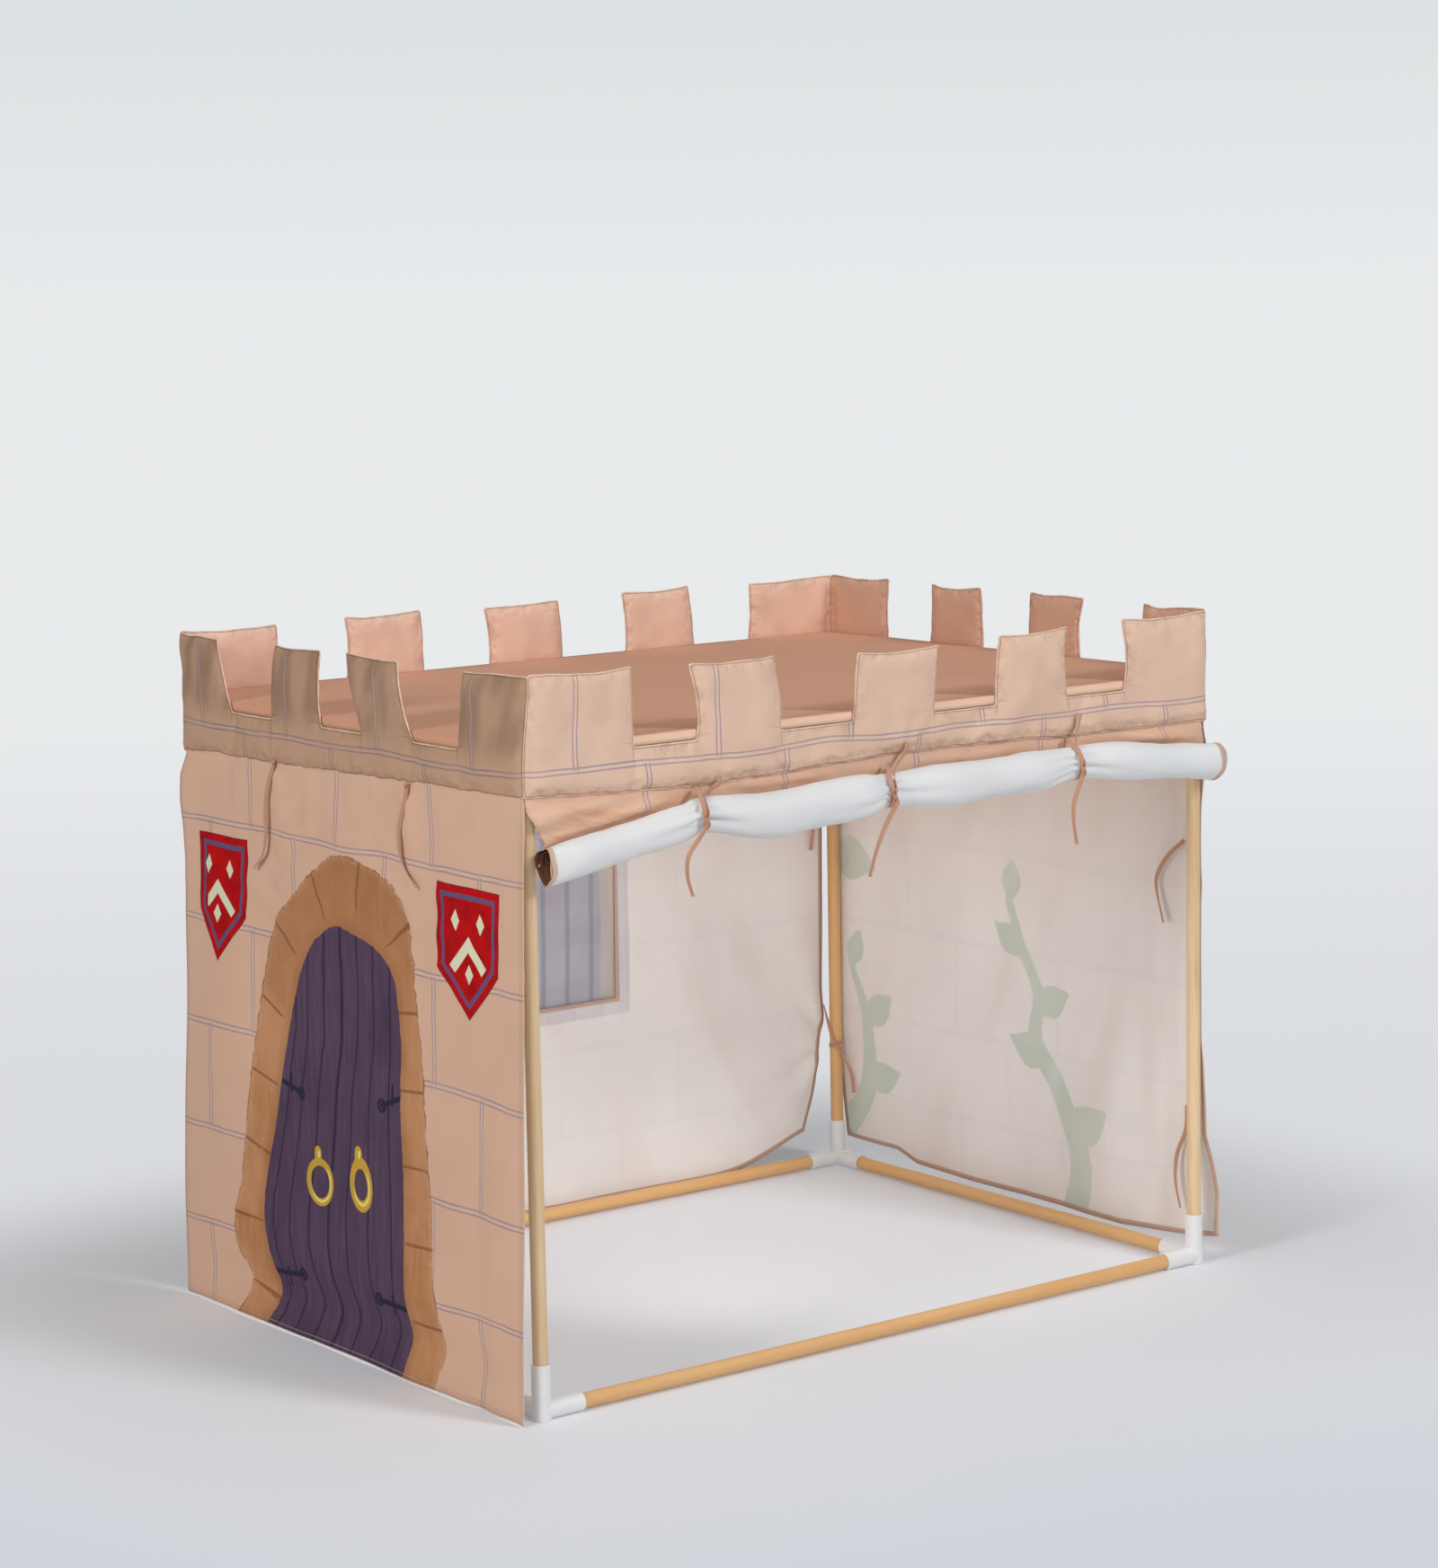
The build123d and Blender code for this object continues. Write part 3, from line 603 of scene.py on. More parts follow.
def draw_strip(paint, place, colour, strength):
    """The printed side of the front wall, with painted shade where it is crumpled above the roll and inside
    it.
    """
    inner = paint.stored("depth")
    across, up, _ = paint.parts(place)
    slanted = paint.node("CombineXYZ", {0: across + up * 2.2, 1: up})
    crumpled = paint.patches(paint.vector("MULTIPLY", slanted, (0.011, 0.03, 0.0)), 1.0, 2.0, 0.46, 0.66)
    crumpled = crumpled * paint.rise(up, 992.0, 965.0)
    colour = stones(paint, colour, strength)
    # painted shade in the crumples above the roll
    colour = paint.mix(crumpled * 0.6, colour, tone(205, 148, 112))
    # painted shade inside the roll
    return paint.mix(paint.rise(inner, 0.0, 1.0), colour, tone(104, 66, 48))


def draw_lining(paint, place, colour, strength):
    """The plain white side, darkened to brown as painted shade where it lies inside the roll."""
    return paint.mix(paint.rise(paint.stored("deep"), 0.1, 0.8), colour, tone(124, 84, 64))


def wood(name, axis):
    """Smooth sanded dowel with fine grain along its axis, warmer towards the back and the floor as painted
    bounce light, and darker at the back's upper parts as painted shade.
    """
    paint = Paint(name)
    world = paint.world()
    stretch = [1.6 if i == axis else 38.0 for i in range(3)]
    fine = [12.0 if i == axis else 420.0 for i in range(3)]
    broad = paint.noise(paint.vector("MULTIPLY", world, stretch), 1.0, 4.0)
    grain = paint.noise(paint.vector("MULTIPLY", world, fine), 1.0, 3.0)
    blotch = paint.noise(world, 3.0, 2.0)
    colour = paint.mix(paint.rise(broad, 0.3, 0.72), tone(230, 201, 161), tone(212, 176, 132))
    colour = paint.mix(paint.rise(grain, 0.5, 0.75) * 0.45, colour, tone(190, 140, 90))
    colour = paint.mix(paint.rise(blotch, 0.4, 0.75) * 0.3, colour, tone(240, 210, 170))
    _, depth, height = paint.parts(world)
    # painted warm bounce light towards the back and near the floor
    warm = paint.most(paint.rise(depth, 0.1, 0.5) * 0.62, paint.rise(height, 0.05, 0.03) * 0.6)
    colour = paint.mix(warm, colour, tone(220, 160, 88))
    # painted shade at the back, higher up
    shade = paint.least(paint.rise(depth, 0.1, 0.5), paint.rise(height, 0.3, 1.0))
    colour = paint.mix(shade * 0.6, colour, tone(150, 100, 62))
    normal = paint.bump(grain, 0.0004, 0.25)
    return paint.finish(colour, normal, Roughness=grain * 0.2 + 0.42, Specular_IOR_Level=0.4)


def plastic():
    """Moulded white plastic with a faintly uneven gloss and small scuffs."""
    paint = Paint("white_plastic")
    world = paint.world()
    scuff = paint.noise(paint.vector("MULTIPLY", world, (60.0, 60.0, 160.0)), 1.0, 5.0)
    cloud = paint.noise(world, 18.0, 2.0)
    colour = paint.mix(paint.rise(scuff, 0.68, 0.8), tone(232, 231, 230), tone(204, 203, 202))
    colour = paint.mix(cloud * 0.25, colour, tone(216, 216, 218))
    normal = paint.bump(paint.noise(world, 90.0, 2.0), 0.0006, 0.2)
    return paint.finish(colour, normal, Roughness=scuff * 0.25 + 0.2, Specular_IOR_Level=0.5)


# Meshes


def new_object(name, points, faces, materials, face_materials=None):
    """A mesh object from points in millimetres, with smooth faces."""
    mesh = bpy.data.meshes.new(name)
    mesh.from_pydata([tuple(p) for p in np.asarray(points, float) * MM], [], faces)
    for material in materials:
        mesh.materials.append(material)
    if face_materials is not None:
        mesh.polygons.foreach_set("material_index", face_materials)
    mesh.polygons.foreach_set("use_smooth", [True] * len(mesh.polygons))
    mesh.update()
    made = bpy.data.objects.new(name, mesh)
    bpy.context.scene.collection.objects.link(made)
    return made


def store(made, name, *values):
    """Keep one value, or a place in two values, at each of a mesh's points."""
    flat = [np.ravel(v) for v in values]
    kind, field = "FLOAT", "value"
    if len(flat) > 1:
        kind, field = "FLOAT_VECTOR", "vector"
        flat.append(np.zeros_like(flat[0]))
    data = made.data.attributes.new(name, kind, "POINT").data
    data.foreach_set(field, np.stack(flat, 1).ravel().astype(np.float32))


def grid_faces(rows, columns, keep=None, flip=False):
    """Quads of a grid of points, apart from those that keep leaves out."""
    faces = []
    for i in range(rows - 1):
        for j in range(columns - 1):
            if keep is not None and not keep[i, j]:
                continue
            a = i * columns + j
            quad = (a, a + 1, a + columns + 1, a + columns)
            faces.append(quad[::-1] if flip else quad)
    return faces


def weld(made):
    """Join the points that lie in one place, and drop the faces that this leaves without area."""
    mesh = bmesh.new()
    mesh.from_mesh(made.data)
    bmesh.ops.remove_doubles(mesh, verts=mesh.verts, dist=0.001 * MM)
    mesh.to_mesh(made.data)
    mesh.free()


def dress(made, node):
    """Hand a piece over: still, in the place of the solid that it stands for."""
    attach(made, "root")
    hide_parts(node)


def make_sheet(name, place, materials, slot, node, thickness=CLOTH, keep=None, flip=False, **stored):
    """A cloth from a grid of places, thickened on its back, with the values that its print reads."""
    points = np.stack(place, -1)
    faces = grid_faces(*points.shape[:2], keep=keep, flip=flip)
    made = new_object(name, points.reshape(-1, 3), faces, materials)
    for key, values in stored.items():
        store(made, key, *(values if isinstance(values, tuple) else (values,)))
    solid = made.modifiers.new("thickness", "SOLIDIFY")
    solid.thickness = thickness * MM
    solid.offset = -1
    solid.material_offset = 1
    solid.material_offset_rim = 0
    dress(made, node)
    return made


def wall_cloths(name, draw, glow, glow_back, **back):
    """A wall's printed outside, and its pale inside where the print shows through."""
    return [cloth(name, PEACH, draw, glow=glow),
            cloth(name + "_back", INSIDE, draw, hemmed=0.9, glow=glow_back, ink=HEM, **back)]


def brick_place(u, z, first):
    """Print coordinates of the stones, with a hand's wobble: across in stones, up in courses."""
    up = z + 3.2 * waves(u, z, 130, 71) + 1.2 * waves(u, z, 45, 72)
    across = u + 3.0 * waves(u, z, 90, 73)
    courses = np.interp(up, COURSES, range(len(COURSES)))
    return (across - first) / STONE_LENGTH, courses


def tuck(x, y, z, radius=CLOTH_OUT):
    """Draw cloth in round the corner posts at the heights that the parapet covers."""
    over_x, over_y = np.abs(x - MIDDLE_X) - HALF_X, np.abs(y - MIDDLE_Y) - HALF_Y
    reach = np.hypot(over_x, over_y)
    pull = np.where((over_x > 0) & (over_y > 0) & (reach > radius), radius / np.maximum(reach, 1e-6), 1)
    pull = 1 + (pull - 1) * smooth(935, 985, z)
    x_in = np.where(over_x > 0, MIDDLE_X + np.sign(x - MIDDLE_X) * (HALF_X + over_x * pull), x)
    y_in = np.where(over_y > 0, MIDDLE_Y + np.sign(y - MIDDLE_Y) * (HALF_Y + over_y * pull), y)
    return x_in, y_in


def wall_grid(low, high, foot, top, step):
    """Places across and up a wall, in cells of about one step."""
    columns = int(round((high - low) / step)) + 1
    rows = int(round((top - foot) / step)) + 1
    return np.meshgrid(np.linspace(low, high, columns), np.linspace(foot, top, rows))


def free_edge(u, z):
    """Distance to the nearest of a wall's free edges: its two sides and its foot."""
    return np.minimum(np.minimum(u - u.min(), u.max() - u), z - z.min())


def arch_blocks(y, z):
    """How many of the arch's stones lie between its left foot and each place."""
    line = spline(ARCH_MIDDLE, 5)
    run = np.concatenate([[0], np.cumsum(np.hypot(*np.diff(line, axis=0).T))])
    nearest = np.full(y.shape, 1e9)
    block = np.zeros(y.shape)
    for (ax, ay), (bx, by), start, end in zip(line, line[1:], run, run[1:]):
        dx, dy = bx - ax, by - ay
        t = np.clip(((y - ax) * dx + (z - ay) * dy) / (dx ** 2 + dy ** 2), 0, 1)
        away = np.hypot(y - ax - t * dx, z - ay - t * dy)
        block = np.where(away < nearest, (start + t * (end - start)) / ARCH_STONE, block)
        nearest = np.minimum(nearest, away)
    return block


def make_door_wall():
    """The wall with the printed door, swung out at its foot and buckled a little above it."""
    u, z = wall_grid(FRONT - CLOTH_OUT, BACK + CLOTH_OUT, 3.0, WALL_TOP, 6.0)
    y = u - MIDDLE_Y
    middle = smooth(530, 330, abs(y))
    out = 28.0 * np.clip((900 - z) / 897, 0, 1) ** 1.35
    out += middle * (4.0 * bell(z, 165, 48) - 11.0 * bell(z, 72, 36))
    loose = smooth(985, 880, z)
    out += loose * (6.0 * waves(u, z / 2.0, 150, 5) + 2.0 * waves(u, z / 2.6, 62, 6) + 3.5)
    near_edge = np.exp(-(BACK + CLOTH_OUT - u) / 40)
    out += loose * near_edge * 5.0 * waves(z, 0, 160, 7)
    out += loose * smooth(300, 480, abs(y)) * 2.6 * waves(u, z / 7, 46, 9)
    hung = np.exp(-(985 - z) / 110) * smooth(986, 960, z)
    out += hung * (4.0 * waves(u, z / 5, 34, 10) + 7.0 * bell(abs(y), 206, 20))
    drag = np.sin((z - 0.5 * abs(abs(y) - 206)) * 2 * np.pi / 64)
    out += 2.2 * smooth(560, 760, z) * smooth(980, 900, z) * drag * np.exp(-abs(abs(y) - 206) / 150)
    out = np.maximum(out, 0)
    x = LEFT - CLOTH_OUT - out
    foot = 2.2 * waves(u, 0, 150, 8) * smooth(60, 0, z)
    wobble_y = y + 2.5 * waves(y, z, 90, 11)
    wobble_z = z + 2.5 * waves(y, z, 90, 12)
    sides = np.array(DOOR)
    top = int(np.argmax(sides[:, 1]))
    level = np.minimum(wobble_z, 540)
    right = np.interp(level, sides[:top + 1, 1], sides[:top + 1, 0])
    left = np.interp(level, sides[:top:-1, 1], sides[:top:-1, 0])
    centre, half = (left + right) / 2, np.maximum((left - right) / 2, 40)
    made = make_sheet(
        "door_wall_cloth", (*tuck(x, u, z), z + foot),
        wall_cloths("door_print", draw_door, 0.1, 0.3, strength=0.18), "wall_cloth", "door_wall", flip=True,
        print=(wobble_y, wobble_z), brick=brick_place(y, z, SIDE_JOINT),
        door=line_distance(wobble_y, wobble_z, spline(DOOR, 5), True),
        arch=line_distance(wobble_y, wobble_z, spline(ARCH, 5), True),
        block=arch_blocks(wobble_y, wobble_z),
        plank=(wobble_y + 3 * waves(y, z / 3, 60, 13) - centre) / half, wide=half, edge=free_edge(u, z),
    )


def make_far_wall():
    """The wall at the far end, whose front edge is drawn in by its tape."""
    u, z = wall_grid(FRONT - CLOTH_OUT, BACK + CLOTH_OUT, 28.0, WALL_TOP, 9.0)
    y = u - MIDDLE_Y
    lift = np.interp(y, (-534, -472, -276, 305, 364, 534), (18, 10, -7, 4, 22, 22))
    height = z + lift * np.clip((300 - z) / 272, 0, 1) ** 1.5
    out = 16.0 * np.clip((270 - z) / 242, 0, 1) ** 1.2
    loose = smooth(985, 880, z)
    out += loose * (6.5 * waves(u, z / 2.6, 210, 15) + 3.0 * waves(u, z / 3, 80, 16) + 2.5)
    drawn = np.interp(z, (28, 45, 112, 173, 235, 460, 781, 900, 985), (-10, -10, -17, -9, 4, 11, 13, 7, 0))
    drawn = drawn - 2.2 * waves(z, 0, 70, 18) * smooth(985, 900, z)
    edge_side = bell(y, -528, 34)
    pleats = 8 * bell(y, -446, 20) - 4 * bell(y, -402, 20) + 5 * bell(y, -345, 26)
    out += loose * pleats * smooth(20, 320, z)
    reach = np.hypot(y + 520, z - 775)
    out += loose * 3 * np.cos(7 * np.arctan2(z - 775, y + 520)) * np.exp(-reach / 150) * smooth(30, 110, reach)
    out -= np.maximum(drawn, 0) * edge_side + np.minimum(drawn, 0) * bell(y, -528, 60)
    x = RIGHT + CLOTH_OUT + np.where(z > 900, np.maximum(out, 0), out)
    y_out = u + np.maximum(drawn, 0) * edge_side * 0.55
    reach = np.hypot(x - RIGHT, y_out - FRONT)
    push = np.maximum(np.where((z < 90) | (z > 990), 17.4, 14.5) / reach, 1)
    made = make_sheet(
        "far_wall_cloth", (*tuck(RIGHT + (x - RIGHT) * push, FRONT + (y_out - FRONT) * push, z), height),
        wall_cloths("vine_print", draw_vine, 0.12, 0.2, strength=0.25, draped=True),
        "wall_cloth", "far_wall", print=(y, z), brick=brick_place(y, z, SIDE_JOINT),
        vine=vine_distance(y, z), edge=free_edge(u, z),
    )


def leaf(root, length, turn, breadth=0.3):
    """The outline of one leaf that points along turn, in degrees."""
    half = [(0.14, 0.5), (0.34, 0.95), (0.56, 0.86), (0.78, 0.4), (0.92, 0.1)]
    shape = np.array([(0, 0)] + half + [(1.04, 0)] + [(along, -side) for along, side in half[::-1]])
    along, side = shape[:, 0] * length, shape[:, 1] * length * breadth
    a = math.radians(turn)
    return spline(np.stack([root[0] + along * math.cos(a) - side * math.sin(a),
                            root[1] + along * math.sin(a) + side * math.cos(a)], 1), 4, closed=True)


def vine_distance(y, z):
    """Distance to the vine, below 0 inside."""
    stem = spline([(-150, 20), (-175, 130), (-120, 260), (-60, 340), (-70, 430), (-20, 520), (10, 600)], 8)
    thick = np.interp(z, (20, 600), (34, 9))
    away = line_distance(y, z, stem) - thick
    second = spline([(520, 60), (440, 160), (430, 300), (480, 420)], 8)
    away = np.minimum(away, line_distance(y, z, second) - np.interp(z, (60, 420), (30, 8)))
    leaves = (
        ((-150, 170), 130, 150), ((-95, 300), 120, 20), ((-66, 400), 110, 155), ((-30, 500), 100, 35),
        ((8, 600), 90, 95), ((440, 170), 120, 160), ((432, 300), 110, 140), ((478, 410), 90, 110),
        ((540, 640), 150, 190),
    )
    for root, length, turn in leaves:
        away = np.minimum(away, line_distance(y, z, leaf(root, length, turn), True))
    return away


def make_window_wall():
    """The back wall: its window opening, its slanting right edge and its lifted corner."""
    wide, high = 1476.0, 1045.0
    s, t = wall_grid(0.0, wide, 0.0, high, 9.0)
    s, t = s / wide, t / high
    right = np.interp(15 + t * high, (15, 77, 110, 210, 260, 315, 540, 690, 990, 1060),
                      (660, 682, 690, 702, 716, 712, 716, 719, 729, 741))
    left = np.full(s.shape, LEFT - 15.0)
    x = left + s * (right - left)
    foot = 15 + 62 * smooth(400, 700, x) ** 1.3
    z = foot + t * (WALL_TOP - foot)
    out = 7.0 * waves(x + 0.3 * z, z / 2.6, 230, 25) + 3.2 * waves(x - 0.25 * z, z / 3, 85, 26)
    reach = np.hypot(x - 722, z - 250)
    out += 5.5 * np.cos(9 * np.arctan2(722 - x, z - 250)) * np.exp(-reach / 210) * smooth(15, 70, reach)
    out = np.clip(out * smooth(985, 880, z) + 2.5, 0, 14)
    opening = np.maximum(abs(x - MIDDLE_X), abs(z - WINDOW_HEIGHT)) - WINDOW_HALF
    out *= smooth(-20, 60, opening)
    lifted = bell(x, 690, 60) * bell(z, 90, 60)
    y = BACK + CLOTH_OUT + out + 5 * lifted
    keep = opening > -4.5
    keep = keep[:-1, :-1] & keep[1:, :-1] & keep[:-1, 1:] & keep[1:, 1:]
    edge = np.minimum(np.minimum((1 - s) * wide, s * wide), t * high)
    made = make_sheet(
        "window_wall_cloth", (*tuck(x, y, z), z),
        wall_cloths("window_print", draw_window, 0.12, 0.2, strength=0.13, draped=True),
        "wall_cloth", "window_wall", keep=keep, flip=True,
        print=(x - MIDDLE_X, z), brick=brick_place(x - MIDDLE_X, z, BACK_JOINT), window=opening,
        edge=np.minimum(edge, np.maximum(opening, 0)),
    )


def make_shutter():
    """The flap that hangs behind the window opening."""
    x, z = wall_grid(MIDDLE_X - 202, MIDDLE_X + 202, 400.0, 816.0, 9.0)
    hang = (816 - z) / 416
    y = BACK + CLOTH_OUT + 1.6 + 7.0 * hang + 1.6 * hang * waves(x, z / 2, 110, 35)
    face = cloth("shutter_print", LILAC, draw_shutter, glow=0.25)
    rim = np.interp(z, (400, 560, 650, 720, 816), (168, 172, 168, 150, 90))
    made = make_sheet(
        "window_shutter_cloth", (x, y, z), [face, face], "shutter_cloth", "window_shutter",
        THIN_CLOTH, flip=True, print=(x - MIDDLE_X, z), rim=abs(x - MIDDLE_X) - rim, edge=free_edge(x, z),
    )


def draw_roof(paint, place, colour, strength):
    """The roof's top in its darker tone of painted shade, and the walls' tone where its front edge turns down.
    """
    front = -HALF_Y - CLOTH_OUT
    turned = paint.rise(paint.parts(place)[1], front + 2.0, front - 3.0)
    return paint.mix(turned, colour, tone(240, 200, 172))


def make_roof():
    """The roof, which rests on the top rails and sags a little between them."""
    half_x, half_y = HALF_X + CLOTH_OUT, HALF_Y + CLOTH_OUT

    def over(half):
        flat = np.linspace(-half, half, int(2 * half / 14))
        turned = np.array([1.2, 2.6, 8.0, 16.0])
        return np.concatenate([-half - turned[::-1], flat, half + turned])

    s, t = np.meshgrid(over(half_x), over(half_y))
    x, y = np.clip(s, -half_x, half_x), np.clip(t, -half_y, half_y)
    drop = np.maximum(abs(s) - half_x, abs(t) - half_y)
    z = ROOF_TOP - np.maximum(drop, 0)
    bed = (1 - (x / half_x) ** 2) * (1 - (y / half_y) ** 2)
    z = z - 9.0 * bed ** 0.8 + 1.1 * bed * waves(x, y, 170, 41)
    pull = np.exp(-np.hypot(abs(x) - half_x, abs(y) - half_y) / 150)
    z += pull * bed * 5 * np.sin(np.arctan2(half_y - abs(y) + 1, half_x - abs(x) + 1) * 14)
    face = cloth("roof_cloth", ROOF, draw_roof, hemmed=0, folds=0.25)
    under = cloth("roof_under", INSIDE, hemmed=0, folds=0.25, glow=0.2)
    made = make_sheet("roof_cloth_piece", (*tuck(x + MIDDLE_X, y + MIDDLE_Y, z), z), [face, under],
                      "roof_cloth", "roof_panel", print=(s, t))
    weld(made)


# Each parapet's merlons, in three groups: where the foot begins and ends; where the top begins
# and ends, its sideways bow and its extra rise; and how far the top's two ends lean outward
FRONT_MERLONS = (
    ((-744.1, -527), (-744.1, -526, 0, 2), (0, 4)), ((-402, -229), (-416, -236, 3, -4), (3, -4)),
    ((-80, 98), (-72, 108, -2, -14), (4, 7)), ((233, 398), (241, 402, -4, -6), (2, -3)),
    ((531, 744.1), (527, 744.1, 3, -1), (2, 0)),
)
LEFT_MERLONS = (
    ((-534.1, -353), (-534.1, -373, 4, 0), (0, 6)), ((-225, -69), (-184, -32, 10, 4), (-2, 7)),
    ((55, 216), (48, 200, 3, 2), (3, -2)), ((345, 534.1), (384, 534.1, 4, 0), (6, 0)),
)
BACK_MERLONS = (
    ((-744.1, -527), (-744.1, -535, -2, 0), (0, -3)), ((-396, -226), (-398, -229, 4, 2), (-3, 2)),
    ((-84, 86), (-92, 80, 3, -2), (2, -3)), ((228, 398), (226, 388, 3, 4), (-2, 2)),
    ((527, 744.1), (530, 744.1, 0, 2), (-3, 0)),
)
RIGHT_MERLONS = (
    ((-534.1, -349), (-534.1, -360, 0, 0), (0, 4)), ((-197, -54), (-204, -58, 4, 3), (3, -4)),
    ((75, 232), (77, 228, -3, 2), (-2, 3)), ((355, 534.1), (352, 534.1, 0, 3), (4, 0)),
)
FRONT_FOOT = ((-744, 1000), (-430, 987), (-230, 991), (0, 1001), (250, 999), (400, 994), (744, 991))
LEFT_FOOT = ((-534, 1000), (-210, 995), (-60, 991), (206, 985), (400, 985), (534, 978))
CORNER = 24.1


def ring_place(panel, u, z, depth):
    """A point on a parapet from its place along the panel, height and distance from the cloth walls."""
    half, other = (HALF_X, HALF_Y) if panel in ("front", "back") else (HALF_Y, HALF_X)
    angle = np.clip((abs(u) - half) / CORNER, 0, 1) * 0.83 * np.sign(u)
    radius = CLOTH_OUT + depth
    along = np.clip(u, -half, half) + radius * np.sin(angle)
    out = other + radius * np.cos(angle)
    if panel in ("front", "back"):
        x, y = along, out * (-1 if panel == "front" else 1)
    else:
        x, y = out * (-1 if panel == "left" else 1), along
    near = bell(np.hypot(x + HALF_X, y + HALF_Y), 0, 90)
    return x + MIDDLE_X + 13 * near * smooth(1040, MERLON_TOP, z), y + MIDDLE_Y, z


def make_parapet(panel, merlons, foot, pulls, first, seed, flip):
    """One padded crenellated panel, made flat and then puffed out by its filling."""
    feet = sorted({value for (a, b), _, _ in merlons for value in (a, b)})
    columns, inside_merlon = [], []
    for index, (a, b) in enumerate(zip(feet, feet[1:])):
        count = max(2, int(round((b - a) / 8.0)))
        columns += list(np.linspace(a, b, count + 1)[:-1])
        inside_merlon += [index % 2 == 0] * count
    columns.append(feet[-1])
    band = BAND_FOOT + np.array([0, 1, 2.5, 5, 8.5, 13, 18, 24, 31, 39, 48, 56, 64, CRENEL - BAND_FOOT])
    heights = np.concatenate([band, np.linspace(CRENEL, MERLON_TOP, 17)[1:]])
    u, z = np.meshgrid(columns, heights)
    share = np.clip((z - CRENEL) / (MERLON_TOP - CRENEL), 0, 1)
    end = np.minimum(u - feet[0], feet[-1] - u)
    free = smooth(0, 70, end)
    foot_line = np.interp(u, *zip(*foot))
    high = z + (foot_line - BAND_FOOT) * np.clip((CRENEL - z) / (CRENEL - BAND_FOOT), 0, 1)
    warped, lean, gap = u.copy(), np.zeros(u.shape), np.ones(u.shape, bool)
    edge, side = np.full(u.shape, 1e9), np.full(u.shape, 1e9)
    for (a, b), (c, d, bow, crown), (lean_low, lean_high) in merlons:
        on = (u >= a - 0.01) & (u <= b + 0.01)
        across = np.clip((u - a) / (b - a), 0, 1)
        shifted = c + across * (d - c)
        bend = bow * np.sin(np.pi * share) * free
        warped = np.where(on, u + (shifted - u) * share ** 1.15 + bend, warped)
        lean = np.where(on, (lean_low + (lean_high - lean_low) * across) * share ** 1.4, lean)
        high = np.where(on, high + crown * share, high)
        side = np.where(on, np.minimum(u - a, b - u), side)
        inner = np.minimum(side, MERLON_TOP - z)
        edge = np.where((z > CRENEL) & on, np.maximum(inner, 0), edge)
        gap &= (u <= a + 0.01) | (u >= b - 0.01)
    tops = smooth(MERLON_TOP - 40, MERLON_TOP, z)
    high = high + 1.8 * waves(warped, 0, 50, seed + 7) * tops * free
    warped = warped + 1.5 * waves(warped * 0.02, z, 34, seed + 8) * share * free
    keep = np.array([[row < len(band) - 1 or inside_merlon[column]
                      for column in range(len(columns) - 1)] for row in range(len(heights) - 1)])
    edge = np.where((z <= CRENEL) & gap, np.minimum(edge, CRENEL - z), edge)
    up = z - BAND_FOOT
    edge = np.minimum(np.minimum(edge, up), end)
    swell = np.where(edge < up, 1 - np.exp(-edge / 14), 1 - np.exp(-up / 4))
    above = smooth(CRENEL - 4, CRENEL + 16, z)
    uneven = 2.0 * waves(warped, z, 80, seed + 2) + 1.4 * waves(warped, z, 34, seed + 3)
    hang = 1.2 * smooth(1045, 1000, high) * (1 + waves(warped, 0, 130, seed + 5))
    hang = hang * smooth(0, 40, end)
    pucker = 3.4 * waves(warped / 6, z, 13, seed + 9) * np.exp(-np.maximum(side - 6, 0) / 14) * above
    folds = np.zeros(u.shape)
    for place, low in pulls:
        reach = np.hypot(warped - place, high - low)
        turn = np.arctan2(warped - place, high - low)
        folds += 2.6 * np.cos(6 * turn) * np.exp(-reach / 50) * smooth(4, 22, reach)
        folds -= 2.2 * bell(reach, 0, 14)
    tube = (4.5 if panel == "front" else 1.5) * bell(high - foot_line, 17, 11)
    tube = tube * (1 + 0.4 * waves(warped, 0, 70, seed + 4))
    puffed = 2.4 + 1.6 * above + 1.5 * uneven + pucker + folds + tube
    front = 2.6 + puffed * swell + hang * swell + lean
    back = np.where(above > 0, 1.4 - (2.2 + 0.9 * uneven + pucker) * swell * above, 0.5) + lean
    points = np.concatenate([np.stack(ring_place(panel, warped, high, skin), -1).reshape(-1, 3)
                             for skin in (front, back)])
    faces = grid_faces(*u.shape, keep=keep, flip=flip)
    used = {(a, b) for face in faces for a, b in zip(face, face[1:] + face[:1])}
    count = u.size
    rims = [(b, a, a + count, b + count) for a, b in sorted(used) if (b, a) not in used]
    backs = [tuple(i + count for i in face[::-1]) for face in faces]
    kinds = [0] * len(faces) + [1] * (len(rims) + len(backs))
    materials = [parapet_cloths.get(panel, parapet_cloths["plain"]),
                 parapet_cloths["far" if panel == "right" else "inside"]]
    made = new_object("parapet_" + panel + "_padded", points, faces + rims + backs, materials, kinds)
    brick = brick_place(warped, high, first)
    for name, values in (("print", (warped, high)), ("brick", brick), ("edge", (edge,))):
        store(made, name, *[np.tile(np.ravel(v), 2) for v in values])
    sewn = smooth(14, 4, end)
    held = np.concatenate([np.ravel(sewn), np.ravel(np.maximum(1 - above, sewn))])
    group = made.vertex_groups.new(name="held")
    for index, weight in enumerate(held):
        if weight > 0:
            group.add([index], float(weight), "REPLACE")
    dress(made, "parapet_" + panel)
    return made


PUFF_SETTINGS = {
    "quality": 5, "mass": 0.12, "tension_stiffness": 12, "compression_stiffness": 12, "shear_stiffness": 4,
    "bending_stiffness": 0.25, "use_pressure": True, "uniform_pressure_force": 2.0, "shrink_min": -0.014,
    "vertex_group_mass": "held",
}
PUFF_STEPS = 20
PUFF_CAP = 4.5 * MM


